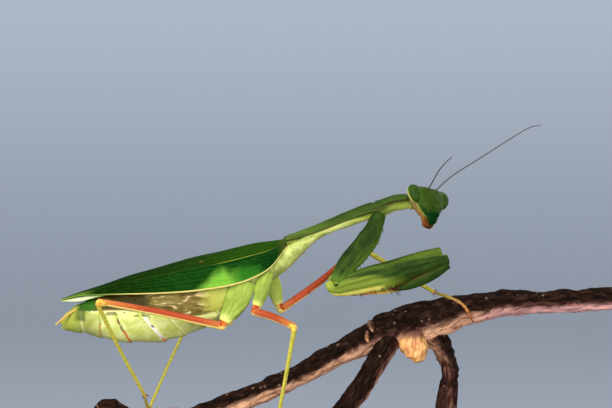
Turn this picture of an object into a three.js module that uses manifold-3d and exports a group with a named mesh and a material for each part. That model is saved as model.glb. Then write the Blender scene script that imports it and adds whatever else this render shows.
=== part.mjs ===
// A praying mantis at life size, an adult female, that climbs along a cut branch on a display stand.
// Millimetres and +Z up. The animal faces +X, its right side is at -Y and its left side at +Y.
// The origin is the middle of the flat underside of the stand's base.
// Neighbouring pieces keep a thin gap, CLEARANCE, so no two solids touch.
import * as THREE from "three";
import { mergeVertices } from "three/addons/utils/BufferGeometryUtils.js";
import Module from "manifold-3d";

const wasm = await Module();
wasm.setup();

// Driving sizes
const CLEARANCE = 0.12; // between neighbouring pieces
const LEG_FLATTEN = 0.86; // width of a leg across its swing, as a share of its height
const FEELER_RADIUS = 0.27; // antennae, which real ones taper from
const BASE = { long: 92, wide: 50, thick: 6, corner: 14, bevel: 1 };
const ROD_RADIUS = 1.3;
const WING_THICK = 0.55; // tegmina
const HINDWING_THICK = 0.5;
const HEAD_CENTRE = [25.35, -0.3, 54.93];
const EYE = { wide: 1.25, deep: 1.6, tall: 1.85, out: 3.3, forward: 0.4, up: 1.25, turns: 12, levels: 8 };

// The head's own axes: it is turned to its right and tilted back, so the face looks out sideways
// and a little up. `left` runs to the animal's left eye, `crown` from the mouth to the crown.
const HEAD_LEFT = new THREE.Vector3(0.83, 0.513, -0.218).normalize();
const HEAD_CROWN = new THREE.Vector3(-0.093, 0.513, 0.853).normalize();
const HEAD_FRONT = new THREE.Vector3().crossVectors(HEAD_LEFT, HEAD_CROWN).normalize();

const COLOURS = {
  leaf: "#4f8a24",
  wing: "#1d5c1c",
  belly: "#cfd870",
  flesh: "#86a83a",
  eye: "#3d6b20",
  orange: "#c65a32",
  yellow: "#c3c846",
  tan: "#b98a6a",
  cream: "#e6e0b4",
  feeler: "#5d5548",
  bark: "#4a2c22",
  wood: "#3a2419",
  brass: "#b08a3c",
};
const ROUGHNESS = { eye: 0.25, brass: 0.3, wood: 0.5, bark: 0.9 };

const root = new THREE.Group();
root.name = "mantis";

const vector = ([x, y, z]) => new THREE.Vector3(x, y, z);
const mirrored = (points) => points.map(([x, y, z]) => [x, -y, z]);

// ---- Solids from rings and sheets

// A closed manifold solid from points and triangles, turned right side out.
function solidFrom(points, faces) {
  const geometry = new THREE.BufferGeometry().setFromPoints(points);
  geometry.setIndex(faces);
  const merged = mergeVertices(geometry, 1e-4);
  const positions = merged.getAttribute("position");
  const corners = merged.getIndex().array;
  const [a, b, c] = [new THREE.Vector3(), new THREE.Vector3(), new THREE.Vector3()];
  const triangles = [];
  let volume = 0;
  for (let i = 0; i < corners.length; i += 3) {
    const [p, q, r] = [corners[i], corners[i + 1], corners[i + 2]];
    if (p === q || q === r || r === p) continue;
    triangles.push([p, q, r]);
    a.fromBufferAttribute(positions, p);
    b.fromBufferAttribute(positions, q);
    c.fromBufferAttribute(positions, r);
    volume += a.dot(b.cross(c));
  }
  const outward = triangles.map(([p, q, r]) => (volume < 0 ? [q, p, r] : [p, q, r]));
  return new wasm.Manifold(
    new wasm.Mesh({
      numProp: 3,
      vertProperties: new Float32Array(positions.array),
      triVerts: new Uint32Array(outward.flat()),
    }),
  );
}

// A skin over rings of points, closed by a fan at each end.
function skin(rings) {
  const sides = rings[0].length;
  const middle = (ring) =>
    ring.reduce((sum, point) => sum.add(point), new THREE.Vector3()).divideScalar(sides);
  const points = [middle(rings[0]), ...rings.flat(), middle(rings.at(-1))];
  const at = (ring, side) => 1 + ring * sides + (side % sides);
  const faces = [];
  for (let side = 0; side < sides; side++) {
    faces.push(0, at(0, side + 1), at(0, side));
    for (let ring = 0; ring + 1 < rings.length; ring++) {
      faces.push(at(ring, side), at(ring, side + 1), at(ring + 1, side + 1));
      faces.push(at(ring, side), at(ring + 1, side + 1), at(ring + 1, side));
    }
    const end = rings.length - 1;
    faces.push(points.length - 1, at(end, side), at(end, side + 1));
  }
  return solidFrom(points, faces);
}

// A thick sheet: two grids of points with the same rows and columns, stitched round their edges.
function sheet(outer, inner) {
  const [rows, columns] = [outer.length, outer[0].length];
  const points = [...outer.flat(), ...inner.flat()];
  const top = (row, column) => row * columns + column;
  const under = (row, column) => rows * columns + row * columns + column;
  const faces = [];
  const quad = (p, q, r, s) => faces.push(p, q, r, p, r, s);
  for (let row = 0; row + 1 < rows; row++) {
    for (let column = 0; column + 1 < columns; column++) {
      const [r, c] = [row + 1, column + 1];
      quad(top(row, column), top(r, column), top(r, c), top(row, c));
      quad(under(row, column), under(row, c), under(r, c), under(r, column));
    }
    const [r, last] = [row + 1, columns - 1];
    quad(top(r, 0), top(row, 0), under(row, 0), under(r, 0));
    quad(top(row, last), top(r, last), under(r, last), under(row, last));
  }
  for (let column = 0; column + 1 < columns; column++) {
    const [c, last] = [column + 1, rows - 1];
    quad(top(0, column), top(0, c), under(0, c), under(0, column));
    quad(top(last, c), top(last, column), under(last, column), under(last, c));
  }
  return solidFrom(points, faces);
}

// A smooth run through values of any length, as a function of 0 to 1.
function smooth(values) {
  const rows = values.map((value) => [value].flat());
  const curve = (pick) =>
    new THREE.CatmullRomCurve3(
      rows.map((row) => new THREE.Vector3(...pick.map((index) => row[index] ?? 0))),
      false,
      "catmullrom",
      0.5,
    );
  const low = curve([0, 1, 2]);
  const high = curve([3, 4, 5]);
  return (t) => [...low.getPoint(t).toArray(), ...high.getPoint(t).toArray()].slice(0, rows[0].length);
}

// A limb along a smooth line of points. `sizes` gives its half width across and half height at
// each point, `up` the way its height runs, and `grow` fattens it all round.
function limb(path, sizes, { steps = 8, sides = 8, up = [0, 0, 1], square = 2, grow = 0 } = {}) {
  const line = smooth(path);
  const size = smooth(sizes);
  const rings = [];
  for (let step = 0; step <= steps; step++) {
    const t = step / steps;
    const here = vector(line(t));
    const ahead = vector(line(Math.min(1, t + 0.01)));
    const along = ahead.sub(vector(line(Math.max(0, t - 0.01)))).normalize();
    const across = new THREE.Vector3().crossVectors(vector(up), along).normalize();
    const high = new THREE.Vector3().crossVectors(along, across);
    const end = step === 0 ? -1 : step === steps ? 1 : 0;
    here.addScaledVector(along, end * grow);
    const [half, tall] = size(t);
    const ring = [];
    for (let side = 0; side < sides; side++) {
      const turn = (2 * Math.PI * side) / sides;
      const bulge = (wave) => Math.sign(wave) * Math.abs(wave) ** (2 / square);
      ring.push(
        here
          .clone()
          .addScaledVector(across, (half + grow) * bulge(Math.cos(turn)))
          .addScaledVector(high, (tall + grow) * bulge(Math.sin(turn))),
      );
    }
    rings.push(ring);
  }
  return skin(rings);
}

// Cuts neighbours away from a solid and keeps its largest body.
function without(solid, ...neighbours) {
  const cut = neighbours.reduce((rest, neighbour) => rest.subtract(neighbour), solid);
  const bodies = cut.decompose();
  return bodies.sort((one, other) => other.volume() - one.volume())[0];
}

// Adds a solid to the model as a named mesh.
function add(name, solid, colour) {
  const { vertProperties, triVerts } = solid.getMesh();
  const geometry = new THREE.BufferGeometry();
  geometry.setAttribute("position", new THREE.BufferAttribute(vertProperties, 3));
  geometry.setIndex(new THREE.BufferAttribute(triVerts, 1));
  geometry.computeVertexNormals();
  const material = new THREE.MeshStandardMaterial({
    color: COLOURS[colour],
    roughness: ROUGHNESS[colour] ?? 0.55,
    metalness: colour === "brass" ? 1 : 0,
  });
  const mesh = new THREE.Mesh(geometry, material);
  mesh.name = name;
  root.add(mesh);
}

// ---- Perch: a cut length of branch with two cut forks below its knuckle

const BRANCH_RADII = [1.5, 2.75, 2.1, 2.05, 2.05, 2.05, 2.1, 2.35, 2.75, 3.7, 3.5, 2.75, 2.3, 2.1, 2.2, 2.25];
const LEFT_FORK_RADII = [2.3, 2, 1.95, 1.95, 1.8, 1.6, 1.5, 1.35];
const RIGHT_FORK_RADII = [2.2, 1.8, 1.6, 1.75, 2, 1.9];
const branch = (grow = 0) =>
  limb(
    [
      [-36.2, 2.2, 14.9],
      [-33.4, 2.1, 15.3],
      [-28, 1.8, 14.2],
      [-22, 1.2, 14.3],
      [-16.7, 0.6, 16],
      [-8.7, 0, 19.1],
      [0.6, 0, 22.9],
      [10, 0, 27.9],
      [15, 0, 30],
      [20.4, 0, 31.8],
      [27, 0, 33.6],
      [33, 0, 35.2],
      [41, 0.3, 36.4],
      [48, 0.7, 36.6],
      [55, 0.9, 36.9],
      [61.2, 1.1, 37.3],
    ],
    BRANCH_RADII.map((r) => [r, r]),
    { steps: 26, sides: 10, grow },
  );
// The bent fork comes forward and to the left under the near middle foot.
const leftFork = limb(
  [
    [18.9, -1, 30.5],
    [16.2, -2.6, 26],
    [13.2, -5, 21.6],
    [10, -8.4, 17.7],
    [5.8, -11.5, 15],
    [0.1, -13.3, 13.9],
    [-5, -14, 13.4],
    [-10.4, -14.4, 13],
  ],
  LEFT_FORK_RADII.map((r) => [r, r]),
  { steps: 12, sides: 9, up: [0, 1, 0.2] },
);
const rightFork = limb(
  [
    [25.8, 0, 31.4],
    [28, 0.4, 28.4],
    [29.5, 0.8, 24.5],
    [29.4, 1.1, 21],
    [29, 1.3, 17.3],
    [28.9, 1.4, 15],
  ],
  RIGHT_FORK_RADII.map((r) => [r, r]),
  { steps: 10, sides: 10, up: [0, 1, 0] },
);
// The pale torn patch where a third twig broke away.
const scar = (grow = 0) =>
  limb(
    [
      [22.6, -2.2, 29.6],
      [23, -3.2, 28.2],
      [23.5, -3.9, 26.9],
    ],
    [
      [2.1, 2],
      [1.9, 1.8],
      [1.1, 1.1],
    ],
    { steps: 4, sides: 10, up: [0, 1, 0], grow },
  );
const leftForkPiece = without(leftFork, branch(CLEARANCE));
const rightForkPiece = without(rightFork, branch(CLEARANCE), scar(CLEARANCE));
add("perch_branch", branch(), "bark");
add("perch_fork_left", leftForkPiece, "bark");
add("perch_fork_right", rightForkPiece, "bark");
add("perch_scar", without(scar(), branch(CLEARANCE), leftFork), "cream");

// ---- Stand: a rounded slab and two short rods up to the perch

const CORNER_SEGMENTS = 7;
function roundedSlab({ long, wide, thick, corner, bevel }) {
  const shape = new THREE.Shape();
  const [x, y, r] = [long / 2 - bevel, wide / 2 - bevel, corner - bevel];
  shape.absarc(x - r, y - r, r, 0, Math.PI / 2);
  shape.absarc(r - x, y - r, r, Math.PI / 2, Math.PI);
  shape.absarc(r - x, r - y, r, Math.PI, 1.5 * Math.PI);
  shape.absarc(x - r, r - y, r, 1.5 * Math.PI, 2 * Math.PI);
  const slab = new THREE.ExtrudeGeometry(shape, {
    depth: thick - 2 * bevel,
    bevelThickness: bevel,
    bevelSize: bevel,
    bevelSegments: 1,
    curveSegments: CORNER_SEGMENTS,
  });
  slab.translate(0, 0, bevel);
  for (const attribute of ["normal", "uv"]) slab.deleteAttribute(attribute);
  const merged = mergeVertices(slab, 1e-4);
  const points = [];
  const positions = merged.getAttribute("position");
  for (let i = 0; i < positions.count; i++) {
    points.push(new THREE.Vector3().fromBufferAttribute(positions, i));
  }
  return solidFrom(points, [...merged.getIndex().array]);
}
const ROD_TOP = 15; // where both rods reach into, or end under, the perch
const rod = (x, y, top) =>
  limb(
    [
      [x, y, BASE.thick + CLEARANCE],
      [x, y, top],
    ],
    [
      [ROD_RADIUS, ROD_RADIUS],
      [ROD_RADIUS, ROD_RADIUS],
    ],
    { steps: 1, sides: 16, up: [0, 1, 0] },
  );
add("stand_base", roundedSlab(BASE), "wood");
add("stand_rod_rear", without(rod(-30, 1.9, ROD_TOP), branch(CLEARANCE)), "brass");
add("stand_rod_front", rod(28.9, 1.4, ROD_TOP - CLEARANCE), "brass");

// ---- Trunk

const prothorax = (grow = 0) =>
  limb(
    [
      [-0.6, 0, 48.2],
      [2.3, 0, 48.9],
      [5.5, 0, 50],
      [9.8, 0, 51.7],
      [13.3, 0, 53],
      [16.6, 0, 53.9],
      [19.1, 0, 54.9],
      [21.3, 0, 55.2],
    ],
    [
      [1.9, 0.5],
      [1.85, 0.9],
      [1.6, 1.1],
      [1.6, 1.25],
      [1.95, 1.4],
      [2.5, 1.5],
      [2, 1.35],
      [1.6, 1.35],
    ],
    { steps: 12, sides: 12, square: 2.2, grow },
  );
const pterothorax = (grow = 0) =>
  limb(
    [
      [3.4, 0, 47.4],
      [0.4, 0, 46],
      [-3.4, 0, 43.9],
      [-7.6, 0, 41.6],
      [-11.4, 0, 39.7],
    ],
    [
      [1.3, 0.9],
      [2.5, 1.95],
      [3.2, 2.75],
      [3.4, 3.1],
      [3.3, 3.2],
    ],
    { steps: 7, sides: 12, grow },
  );
const abdomen = (grow = 0) =>
  limb(
    [
      [-9.6, 0, 39.6],
      [-12.6, 0, 38.7],
      [-17, 0, 37.4],
      [-24, 0, 35.3],
      [-31.4, 0, 34.2],
      [-37, 0, 33.8],
      [-40.6, 0, 32.9],
      [-42.3, 0, 32.2],
    ],
    [
      [3, 3.4],
      [3.9, 4.8],
      [4.7, 5.6],
      [5.2, 6],
      [4.7, 5],
      [3.3, 3.3],
      [1.8, 1.9],
      [0.8, 0.9],
    ],
    { steps: 14, sides: 14, grow },
  );

// ---- Wings: each is an arched sheet that runs from the ridge over the back down to its outer edge

// Stations from root to tip: ridge x, ridge z, outer edge x, edge z, and how far out the edge is.
const WING_STATIONS = [
  [-0.7, 48.3, -0.6, 46.9, 1.5],
  [-3.7, 47.9, -3.7, 42.9, 3.3],
  [-6.6, 47.5, -7.4, 40.8, 4.2],
  [-10, 46.7, -10.7, 39.8, 4.8],
  [-13.2, 45.9, -14.1, 39.2, 5.1],
  [-18.2, 44.8, -19.1, 38.6, 5.3],
  [-24.8, 42.9, -25.5, 38.3, 5.2],
  [-29.8, 41.5, -30.5, 38.2, 4.5],
  [-34.7, 39.8, -35.3, 38.1, 3.3],
  [-38.8, 38.5, -39, 37.6, 1.9],
  [-42.2, 37.2, -42.2, 36.7, 0.8],
];
const WING_STEPS = 12;
const WING_COLUMNS = 5;
const RIDGE_GAP = 0.08; // from the midline to each wing's inner edge

// A wing on one side (-1 right, 1 left), `inset` below the outer surface, between two shares of its length.
function wing(side, { inset, thick, from = 0, to = 1, reach = 1, grow = 0 }) {
  const station = smooth(WING_STATIONS);
  const grids = [inset - grow, inset + thick + grow].map((depth) => {
    const rows = [];
    for (let step = 0; step <= WING_STEPS; step++) {
      const t = from + ((to - from) * step) / WING_STEPS;
      const [ridgeX, ridgeZ, edgeX, edgeZ, out] = station(t);
      const row = [];
      for (let column = 0; column <= WING_COLUMNS; column++) {
        const share = (reach * column) / WING_COLUMNS;
        const turn = (share * Math.PI) / 2;
        const drop = ridgeZ - edgeZ;
        const outward = new THREE.Vector2(Math.sin(turn) * drop, Math.cos(turn) * out).normalize();
        const overrun = column === 0 ? -grow : 0;
        const y = out * Math.sin(turn) - depth * outward.x;
        const z = edgeZ + drop * Math.cos(turn) - depth * outward.y;
        const tail = column === WING_COLUMNS ? grow : 0;
        const end = step === 0 ? grow : step === WING_STEPS ? -grow : 0;
        const x = THREE.MathUtils.lerp(ridgeX, edgeX, share) + end;
        row.push(new THREE.Vector3(x, side * Math.max(RIDGE_GAP - grow, y + RIDGE_GAP + overrun), z - tail));
      }
      rows.push(row);
    }
    return rows;
  });
  return sheet(...grids);
}
const tegmen = (side, grow = 0) => wing(side, { inset: 0, thick: WING_THICK, grow });
const HINDWING = { inset: WING_THICK + CLEARANCE, thick: HINDWING_THICK };
const hindwing = (side, grow = 0) => wing(side, { ...HINDWING, from: 0.1, to: 0.985, reach: 0.8, grow });

// ---- Head, in its own axes: across to the left, back from the face, and up to the crown

const inHead = (across, back, crown) =>
  vector(HEAD_CENTRE)
    .addScaledVector(HEAD_LEFT, across)
    .addScaledVector(HEAD_FRONT, -back)
    .addScaledVector(HEAD_CROWN, crown);

// Half width of the face at heights from the labrum's tip up to the crown.
const FACE = [
  [-5, 0.7],
  [-4.6, 1.25],
  [-3.6, 1.65],
  [-2.4, 2.1],
  [-1.2, 2.75],
  [0, 3.45],
  [1.2, 4],
  [2.1, 3.9],
  [2.75, 3.1],
];
// Front and back of the head at the same heights.
const PROFILE = [
  [-0.9, 0.5],
  [-1.35, 0.8],
  [-1.7, 1.1],
  [-1.9, 1.4],
  [-2, 1.7],
  [-2.05, 1.8],
  [-2, 1.8],
  [-1.7, 1.6],
  [-1, 1],
];
const HEAD_SIDES = 14;
const HEAD_FLATNESS = { across: 0.8, deep: 0.75 }; // powers under 1 square the head's outline
function headSolid(grow = 0) {
  const rings = FACE.map(([crown, half], level) => {
    const [front, back] = PROFILE[level];
    const ring = [];
    for (let side = 0; side < HEAD_SIDES; side++) {
      const turn = (2 * Math.PI * side) / HEAD_SIDES;
      const depth = Math.sin(turn) > 0 ? back : -front;
      const flat = (wave, power) => Math.sign(wave) * Math.abs(wave) ** power;
      const across = (half + grow) * flat(Math.cos(turn), HEAD_FLATNESS.across);
      ring.push(inHead(across, (depth + grow) * flat(Math.sin(turn), HEAD_FLATNESS.deep), crown));
    }
    return ring;
  });
  return skin(rings);
}
function eyeSolid(side, grow = 0) {
  const rings = [];
  const { turns, levels } = EYE;
  for (let level = 1; level < levels; level++) {
    const polar = (Math.PI * level) / levels;
    const ring = [];
    for (let turn = 0; turn < turns; turn++) {
      const angle = (2 * Math.PI * turn) / turns;
      const across = side * EYE.out + (EYE.wide + grow) * Math.sin(polar) * Math.cos(angle);
      const back = -EYE.forward + (EYE.deep + grow) * Math.sin(polar) * Math.sin(angle);
      ring.push(inHead(across, back, EYE.up - (EYE.tall + grow) * Math.cos(polar)));
    }
    rings.push(ring);
  }
  return skin(rings);
}
const mouthparts = (grow = 0) => {
  const at = (across, back, crown) => inHead(across, back, crown).toArray();
  return limb(
    [at(0, 0.6, -3.6), at(0, 0.5, -4.6), at(0, 0.3, -5.4)],
    [
      [1.4, 0.8],
      [1.15, 0.7],
      [0.6, 0.4],
    ],
    { steps: 4, sides: 10, up: HEAD_FRONT.toArray(), grow },
  );
};
const neck = (grow = 0) =>
  limb(
    [
      [20.6, 0, 55.1],
      [22.2, 0.15, 54.9],
      [24.2, 0.8, 54.3],
      [25, 1.1, 54.1],
    ],
    [
      [1.25, 1.15],
      [1.2, 1.25],
      [1.1, 1.2],
      [1, 1.1],
    ],
    { steps: 4, sides: 9, grow },
  );

const eyes = { right: eyeSolid(-1), left: eyeSolid(1) };
const nearEyes = [eyeSolid(-1, CLEARANCE), eyeSolid(1, CLEARANCE)];
const headPiece = without(headSolid(), ...nearEyes);
add("head", headPiece, "leaf");
add("eye_right", eyes.right, "eye");
add("eye_left", eyes.left, "eye");
add("mouthparts", without(mouthparts(), headSolid(CLEARANCE)), "orange");
add("neck", without(neck(), prothorax(CLEARANCE), headSolid(CLEARANCE)), "belly");

// Antennae spring from the brow, a little apart.
const FEELER_PATHS = {
  right: [
    inHead(-0.85, -2.0, 1.75).toArray(),
    [26.4, -4.4, 59.3],
    [27, -10, 60.8],
    [27.7, -16.5, 62],
    [28.5, -23, 63],
  ],
  left: [
    inHead(0.85, -2.0, 1.75).toArray(),
    [29.9, -0.9, 59.9],
    [35.1, -0.2, 63.2],
    [40.8, 0.4, 66.8],
    [44.4, 0.8, 68.9],
    [46.5, 1, 69.3],
  ],
};
for (const [side, path] of Object.entries(FEELER_PATHS)) {
  const sizes = path.map(() => [FEELER_RADIUS, FEELER_RADIUS]);
  const feeler = limb(path, sizes, { steps: 12, sides: 6, up: [0, 0.3, 1] });
  add(`antenna_${side}`, without(feeler, headSolid(CLEARANCE)), "feeler");
}

// ---- Trunk pieces, cut clear of the wings and of each other

const wingsGrown = [-1, 1].flatMap((side) => [tegmen(side, CLEARANCE), hindwing(side, CLEARANCE)]);
const CERCUS_PATH = [
  [-39.6, -1.7, 35.2],
  [-41.4, -2.3, 33.9],
  [-43.2, -2.7, 32.3],
];
const cercus = (path, grow = 0) =>
  limb(
    path,
    [
      [0.33, 0.33],
      [0.3, 0.3],
      [0.25, 0.25],
    ],
    { steps: 4, sides: 6, grow },
  );
const thoraxPiece = without(pterothorax(), prothorax(CLEARANCE), ...wingsGrown);
const abdomenPiece = without(abdomen(), pterothorax(CLEARANCE), ...wingsGrown);
add("prothorax", prothorax(), "leaf");
add("pterothorax", thoraxPiece, "flesh");
add("abdomen", abdomenPiece, "belly");
for (const [side, path] of [["right", CERCUS_PATH], ["left", mirrored(CERCUS_PATH)]]) {
  add(`cercus_${side}`, without(cercus(path), abdomen(CLEARANCE)), "orange");
}
for (const [name, side] of [["right", -1], ["left", 1]]) {
  add(`tegmen_${name}`, tegmen(side), "wing");
  add(`hindwing_${name}`, hindwing(side), "cream");
}

// ---- Legs: coxa, femur with its trochanter, tibia and tarsus

const FORE_COXA_SIZES = [
  [0.75, 1.2],
  [0.9, 1.6],
  [1, 2.15],
  [1, 2.1],
  [1, 2.05],
  [0.95, 1.75],
  [0.8, 1.25],
];
const FORE_FEMUR_SIZES = [
  [0.6, 0.7],
  [0.75, 1.15],
  [0.95, 1.9],
  [1.1, 2.2],
  [1.1, 2.2],
  [1.05, 1.7],
  [0.9, 1.25],
  [0.6, 0.7],
];
const FORE_TIBIA_SIZES = [
  [0.5, 0.6],
  [0.55, 0.8],
  [0.5, 0.75],
  [0.35, 0.3],
];
const TARSUS_SIZES = [
  [0.36, 0.36],
  [0.32, 0.32],
  [0.3, 0.3],
  [0.27, 0.27],
];
const WALKING_COXA_SIZES = [
  [1, 1.35],
  [1.05, 1.3],
  [0.85, 0.95],
];
const HIND_COXA_SIZES = [
  [1.25, 2.6],
  [1.2, 2.2],
  [0.9, 1.2],
];
const straightLeg = (start, middle, end) => [start, middle, end].map((r) => [r * LEG_FLATTEN, r]);

const LEGS = {
  fore_right: {
    coxa: [
      [16.4, -1.6, 52.9],
      [15.4, -2.1, 50.2],
      [14.4, -2.5, 48.2],
      [13, -2.9, 46.2],
      [11.1, -3.2, 44],
      [9.5, -3.4, 42.1],
      [8.5, -3.6, 40.5],
    ],
    femur: [
      [7, -3.7, 40.2],
      [8.3, -3.7, 39.1],
      [11, -3.7, 39.8],
      [15, -3.6, 40.8],
      [18.1, -3.5, 41.4],
      [22.2, -3.3, 42.8],
      [25.9, -3.1, 43.8],
      [29, -3, 44.5],
    ],
    tibia: [
      [29.2, -3, 43.3],
      [25.9, -3, 41.4],
      [22.6, -3, 40],
      [19.9, -3, 38.9],
    ],
    tarsus: [
      [20.6, -2.2, 39],
      [17.6, -2, 38.5],
      [14.6, -2, 38.3],
      [12, -2, 38.1],
    ],
    sizes: [FORE_COXA_SIZES, FORE_FEMUR_SIZES, FORE_TIBIA_SIZES],
    colours: ["leaf", "leaf", "leaf", "yellow"],
  },
  fore_left: {
    coxa: [
      [16.7, 1.6, 53],
      [15.7, 2.1, 50.5],
      [14.7, 2.5, 48.7],
      [13.4, 2.8, 46.9],
      [11.6, 3.1, 44.9],
      [10.1, 3.2, 43.1],
      [9.1, 3.3, 41.7],
    ],
    femur: [
      [7.7, 3.4, 41.2],
      [8.9, 3.4, 39.9],
      [11.4, 3.2, 39.9],
      [14.9, 2.9, 40.8],
      [17.9, 2.7, 41.7],
      [21.7, 2.5, 43.3],
      [25.2, 2.4, 44.75],
      [28, 2.3, 45.8],
    ],
    tibia: [
      [28.2, 2.3, 44.6],
      [24.9, 2.2, 42.3],
      [21.6, 2.2, 40.3],
      [18.9, 2.2, 38.9],
    ],
    tarsus: [
      [19.6, 1.4, 39.1],
      [16.6, 1.2, 38.6],
      [13.7, 1.3, 38.4],
      [11.1, 1.5, 38.2],
    ],
    sizes: [FORE_COXA_SIZES, FORE_FEMUR_SIZES, FORE_TIBIA_SIZES],
    colours: ["leaf", "leaf", "leaf", "yellow"],
  },
  middle_right: {
    coxa: [
      [-4.2, -2.2, 41.8],
      [-5.1, -3.3, 39],
      [-6, -4, 36.2],
    ],
    femur: [
      [-6.4, -4.1, 35],
      [-2.9, -12.2, 34.4],
      [0.85, -20.5, 33.2],
    ],
    tibia: [
      [0.9, -20.6, 32.5],
      [-0.5, -16.9, 24.8],
      [-2, -13.1, 16.7],
    ],
    tarsus: [
      [-2.2, -13.1, 16.4],
      [-3.8, -13.3, 15.7],
      [-6.8, -13.9, 15.2],
      [-9.9, -14.1, 15.1],
    ],
    sizes: [WALKING_COXA_SIZES, straightLeg(0.75, 0.75, 0.65), straightLeg(0.5, 0.5, 0.45)],
    colours: ["flesh", "orange", "yellow", "tan"],
  },
  middle_left: {
    coxa: [
      [-3.6, 2.2, 41.4],
      [-2.9, 3.1, 38.8],
      [-2.3, 3.7, 36.3],
    ],
    femur: [
      [-1.9, 3.9, 34.9],
      [5.9, 6.7, 40.4],
      [12.95, 9, 46.5],
    ],
    tibia: [
      [13.5, 9, 46.4],
      [20.2, 5.3, 42.3],
      [26.7, 1.3, 38.4],
    ],
    tarsus: [
      [27, 1, 38.2],
      [29.2, -1.2, 37.6],
      [31.8, -3, 36.2],
      [33.3, -3.1, 33.8],
    ],
    sizes: [WALKING_COXA_SIZES, straightLeg(0.75, 0.75, 0.65), straightLeg(0.5, 0.5, 0.45)],
    colours: ["flesh", "orange", "yellow", "tan"],
  },
  hind_right: {
    coxa: [
      [-8.7, -2.9, 40.3],
      [-9.9, -4, 36.9],
      [-11.9, -5, 33.4],
    ],
    femur: [
      [-12.2, -5.3, 32.4],
      [-23.4, -11.1, 35.2],
      [-33.9, -16, 37.4],
    ],
    tibia: [
      [-34.2, -16, 36.9],
      [-30.7, -8.8, 28.2],
      [-26.7, -1.7, 19.4],
    ],
    tarsus: [
      [-26.6, -1.6, 19],
      [-26.2, -1.2, 17],
      [-23.8, -0.6, 16.6],
      [-20.9, -0.6, 16.7],
    ],
    sizes: [HIND_COXA_SIZES, straightLeg(0.7, 0.65, 0.62), straightLeg(0.4, 0.36, 0.36)],
    colours: ["flesh", "orange", "yellow", "tan"],
  },
  hind_left: {
    coxa: [
      [-8.9, 2.9, 40.3],
      [-9.8, 3.9, 36.9],
      [-11.2, 4.8, 33.5],
    ],
    femur: [
      [-11.5, 5.1, 32.6],
      [-15.6, 15.8, 32.7],
      [-19.5, 26.5, 32.3],
    ],
    tibia: [
      [-19.9, 26.6, 31.8],
      [-23.6, 18.2, 23.7],
      [-26.9, 9.7, 15.5],
    ],
    tarsus: [
      [-27, 9.4, 15.1],
      [-26.4, 6.6, 13.6],
      [-24.5, 4.2, 14.9],
      [-22, 3.2, 16],
    ],
    sizes: [HIND_COXA_SIZES, straightLeg(0.7, 0.65, 0.62), straightLeg(0.4, 0.36, 0.36)],
    colours: ["flesh", "orange", "yellow", "tan"],
  },
};
const SEGMENTS = ["coxa", "femur", "tibia", "tarsus"];
// Rings along each segment, points round it, and the way its height runs, for the grasping fore legs
// and for the walking legs.
const FORE_RINGS = [6, 9, 9, 6];
const FORE_POINTS = [10, 10, 8, 6];
const FORE_UP = [0, 0, 1];
const WALKING_RINGS = [6, 6, 6, 6];
const WALKING_POINTS = [8, 8, 8, 6];
const WALKING_UP = [0.2, 0, 1];
const COXA_UP = [1, 0, 0.3];
const trunkGrown = [prothorax(CLEARANCE), pterothorax(CLEARANCE), abdomen(CLEARANCE), ...wingsGrown];
const perchGrown = [branch(CLEARANCE), leftFork];

for (const [name, leg] of Object.entries(LEGS)) {
  const grasping = name.startsWith("fore");
  const segment = (index, grow) =>
    limb(leg[SEGMENTS[index]], leg.sizes[index] ?? TARSUS_SIZES, {
      steps: (grasping ? FORE_RINGS : WALKING_RINGS)[index],
      sides: (grasping ? FORE_POINTS : WALKING_POINTS)[index],
      up: index === 0 ? COXA_UP : grasping ? FORE_UP : WALKING_UP,
      grow,
    });
  SEGMENTS.forEach((part, index) => {
    const before = index > 0 ? [segment(index - 1, CLEARANCE)] : trunkGrown;
    const under = part === "tarsus" ? perchGrown : [];
    add(`${name}_${part}`, without(segment(index, 0), ...before, ...under), leg.colours[index]);
  });
}

export default root;
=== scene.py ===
import bpy, math
from mathutils import Matrix, Vector, noise


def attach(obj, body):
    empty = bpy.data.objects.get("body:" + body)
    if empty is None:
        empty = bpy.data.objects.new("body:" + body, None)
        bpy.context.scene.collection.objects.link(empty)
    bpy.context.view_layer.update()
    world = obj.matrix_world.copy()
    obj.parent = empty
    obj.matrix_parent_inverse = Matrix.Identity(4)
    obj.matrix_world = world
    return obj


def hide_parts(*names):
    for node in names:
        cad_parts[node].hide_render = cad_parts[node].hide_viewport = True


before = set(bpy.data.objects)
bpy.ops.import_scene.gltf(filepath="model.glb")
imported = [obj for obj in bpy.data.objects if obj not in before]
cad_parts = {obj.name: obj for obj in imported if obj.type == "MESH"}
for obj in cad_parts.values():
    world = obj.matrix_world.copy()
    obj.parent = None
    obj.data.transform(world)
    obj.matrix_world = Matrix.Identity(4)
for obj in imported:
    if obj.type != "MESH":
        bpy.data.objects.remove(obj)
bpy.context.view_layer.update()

# ---- The room ----------------------------------------------------------------------------------
# The model stands in the middle of a wide shallow dish of pale paper, lit by four soft boxes, with
# a fifth overhead for the paper. The camera looks level at its right side from 42 centimetres.
MM = 0.001


def mm(*place):
    """A place in millimetres, as metres."""
    return Vector(place) * MM


def paint(red, green, blue):
    """A colour as it is seen, from 0 to 255, as the light it throws back."""
    return tuple(
        c / 255 / 12.92 if c < 10.3 else ((c / 255 + 0.055) / 1.055) ** 2.4 for c in (red, green, blue)
    ) + (1,)


def add_node(tree, kind, settings, values, output=0):
    """A node with its settings made first, and then the values or links of its sockets."""
    made = tree.nodes.new(kind)
    for key, value in settings.items():
        if key != "stops":
            setattr(made, key, value)
            continue
        for k, (at, colour) in enumerate(value):
            stop = made.color_ramp.elements[k] if k < 2 else made.color_ramp.elements.new(at)
            stop.position, stop.color = at, colour
    for key, value in values.items():
        if isinstance(value, Shade):
            tree.links.new(value.socket, made.inputs[key])
        else:
            made.inputs[key].default_value = value
    return Shade(tree, made.outputs[output])


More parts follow.
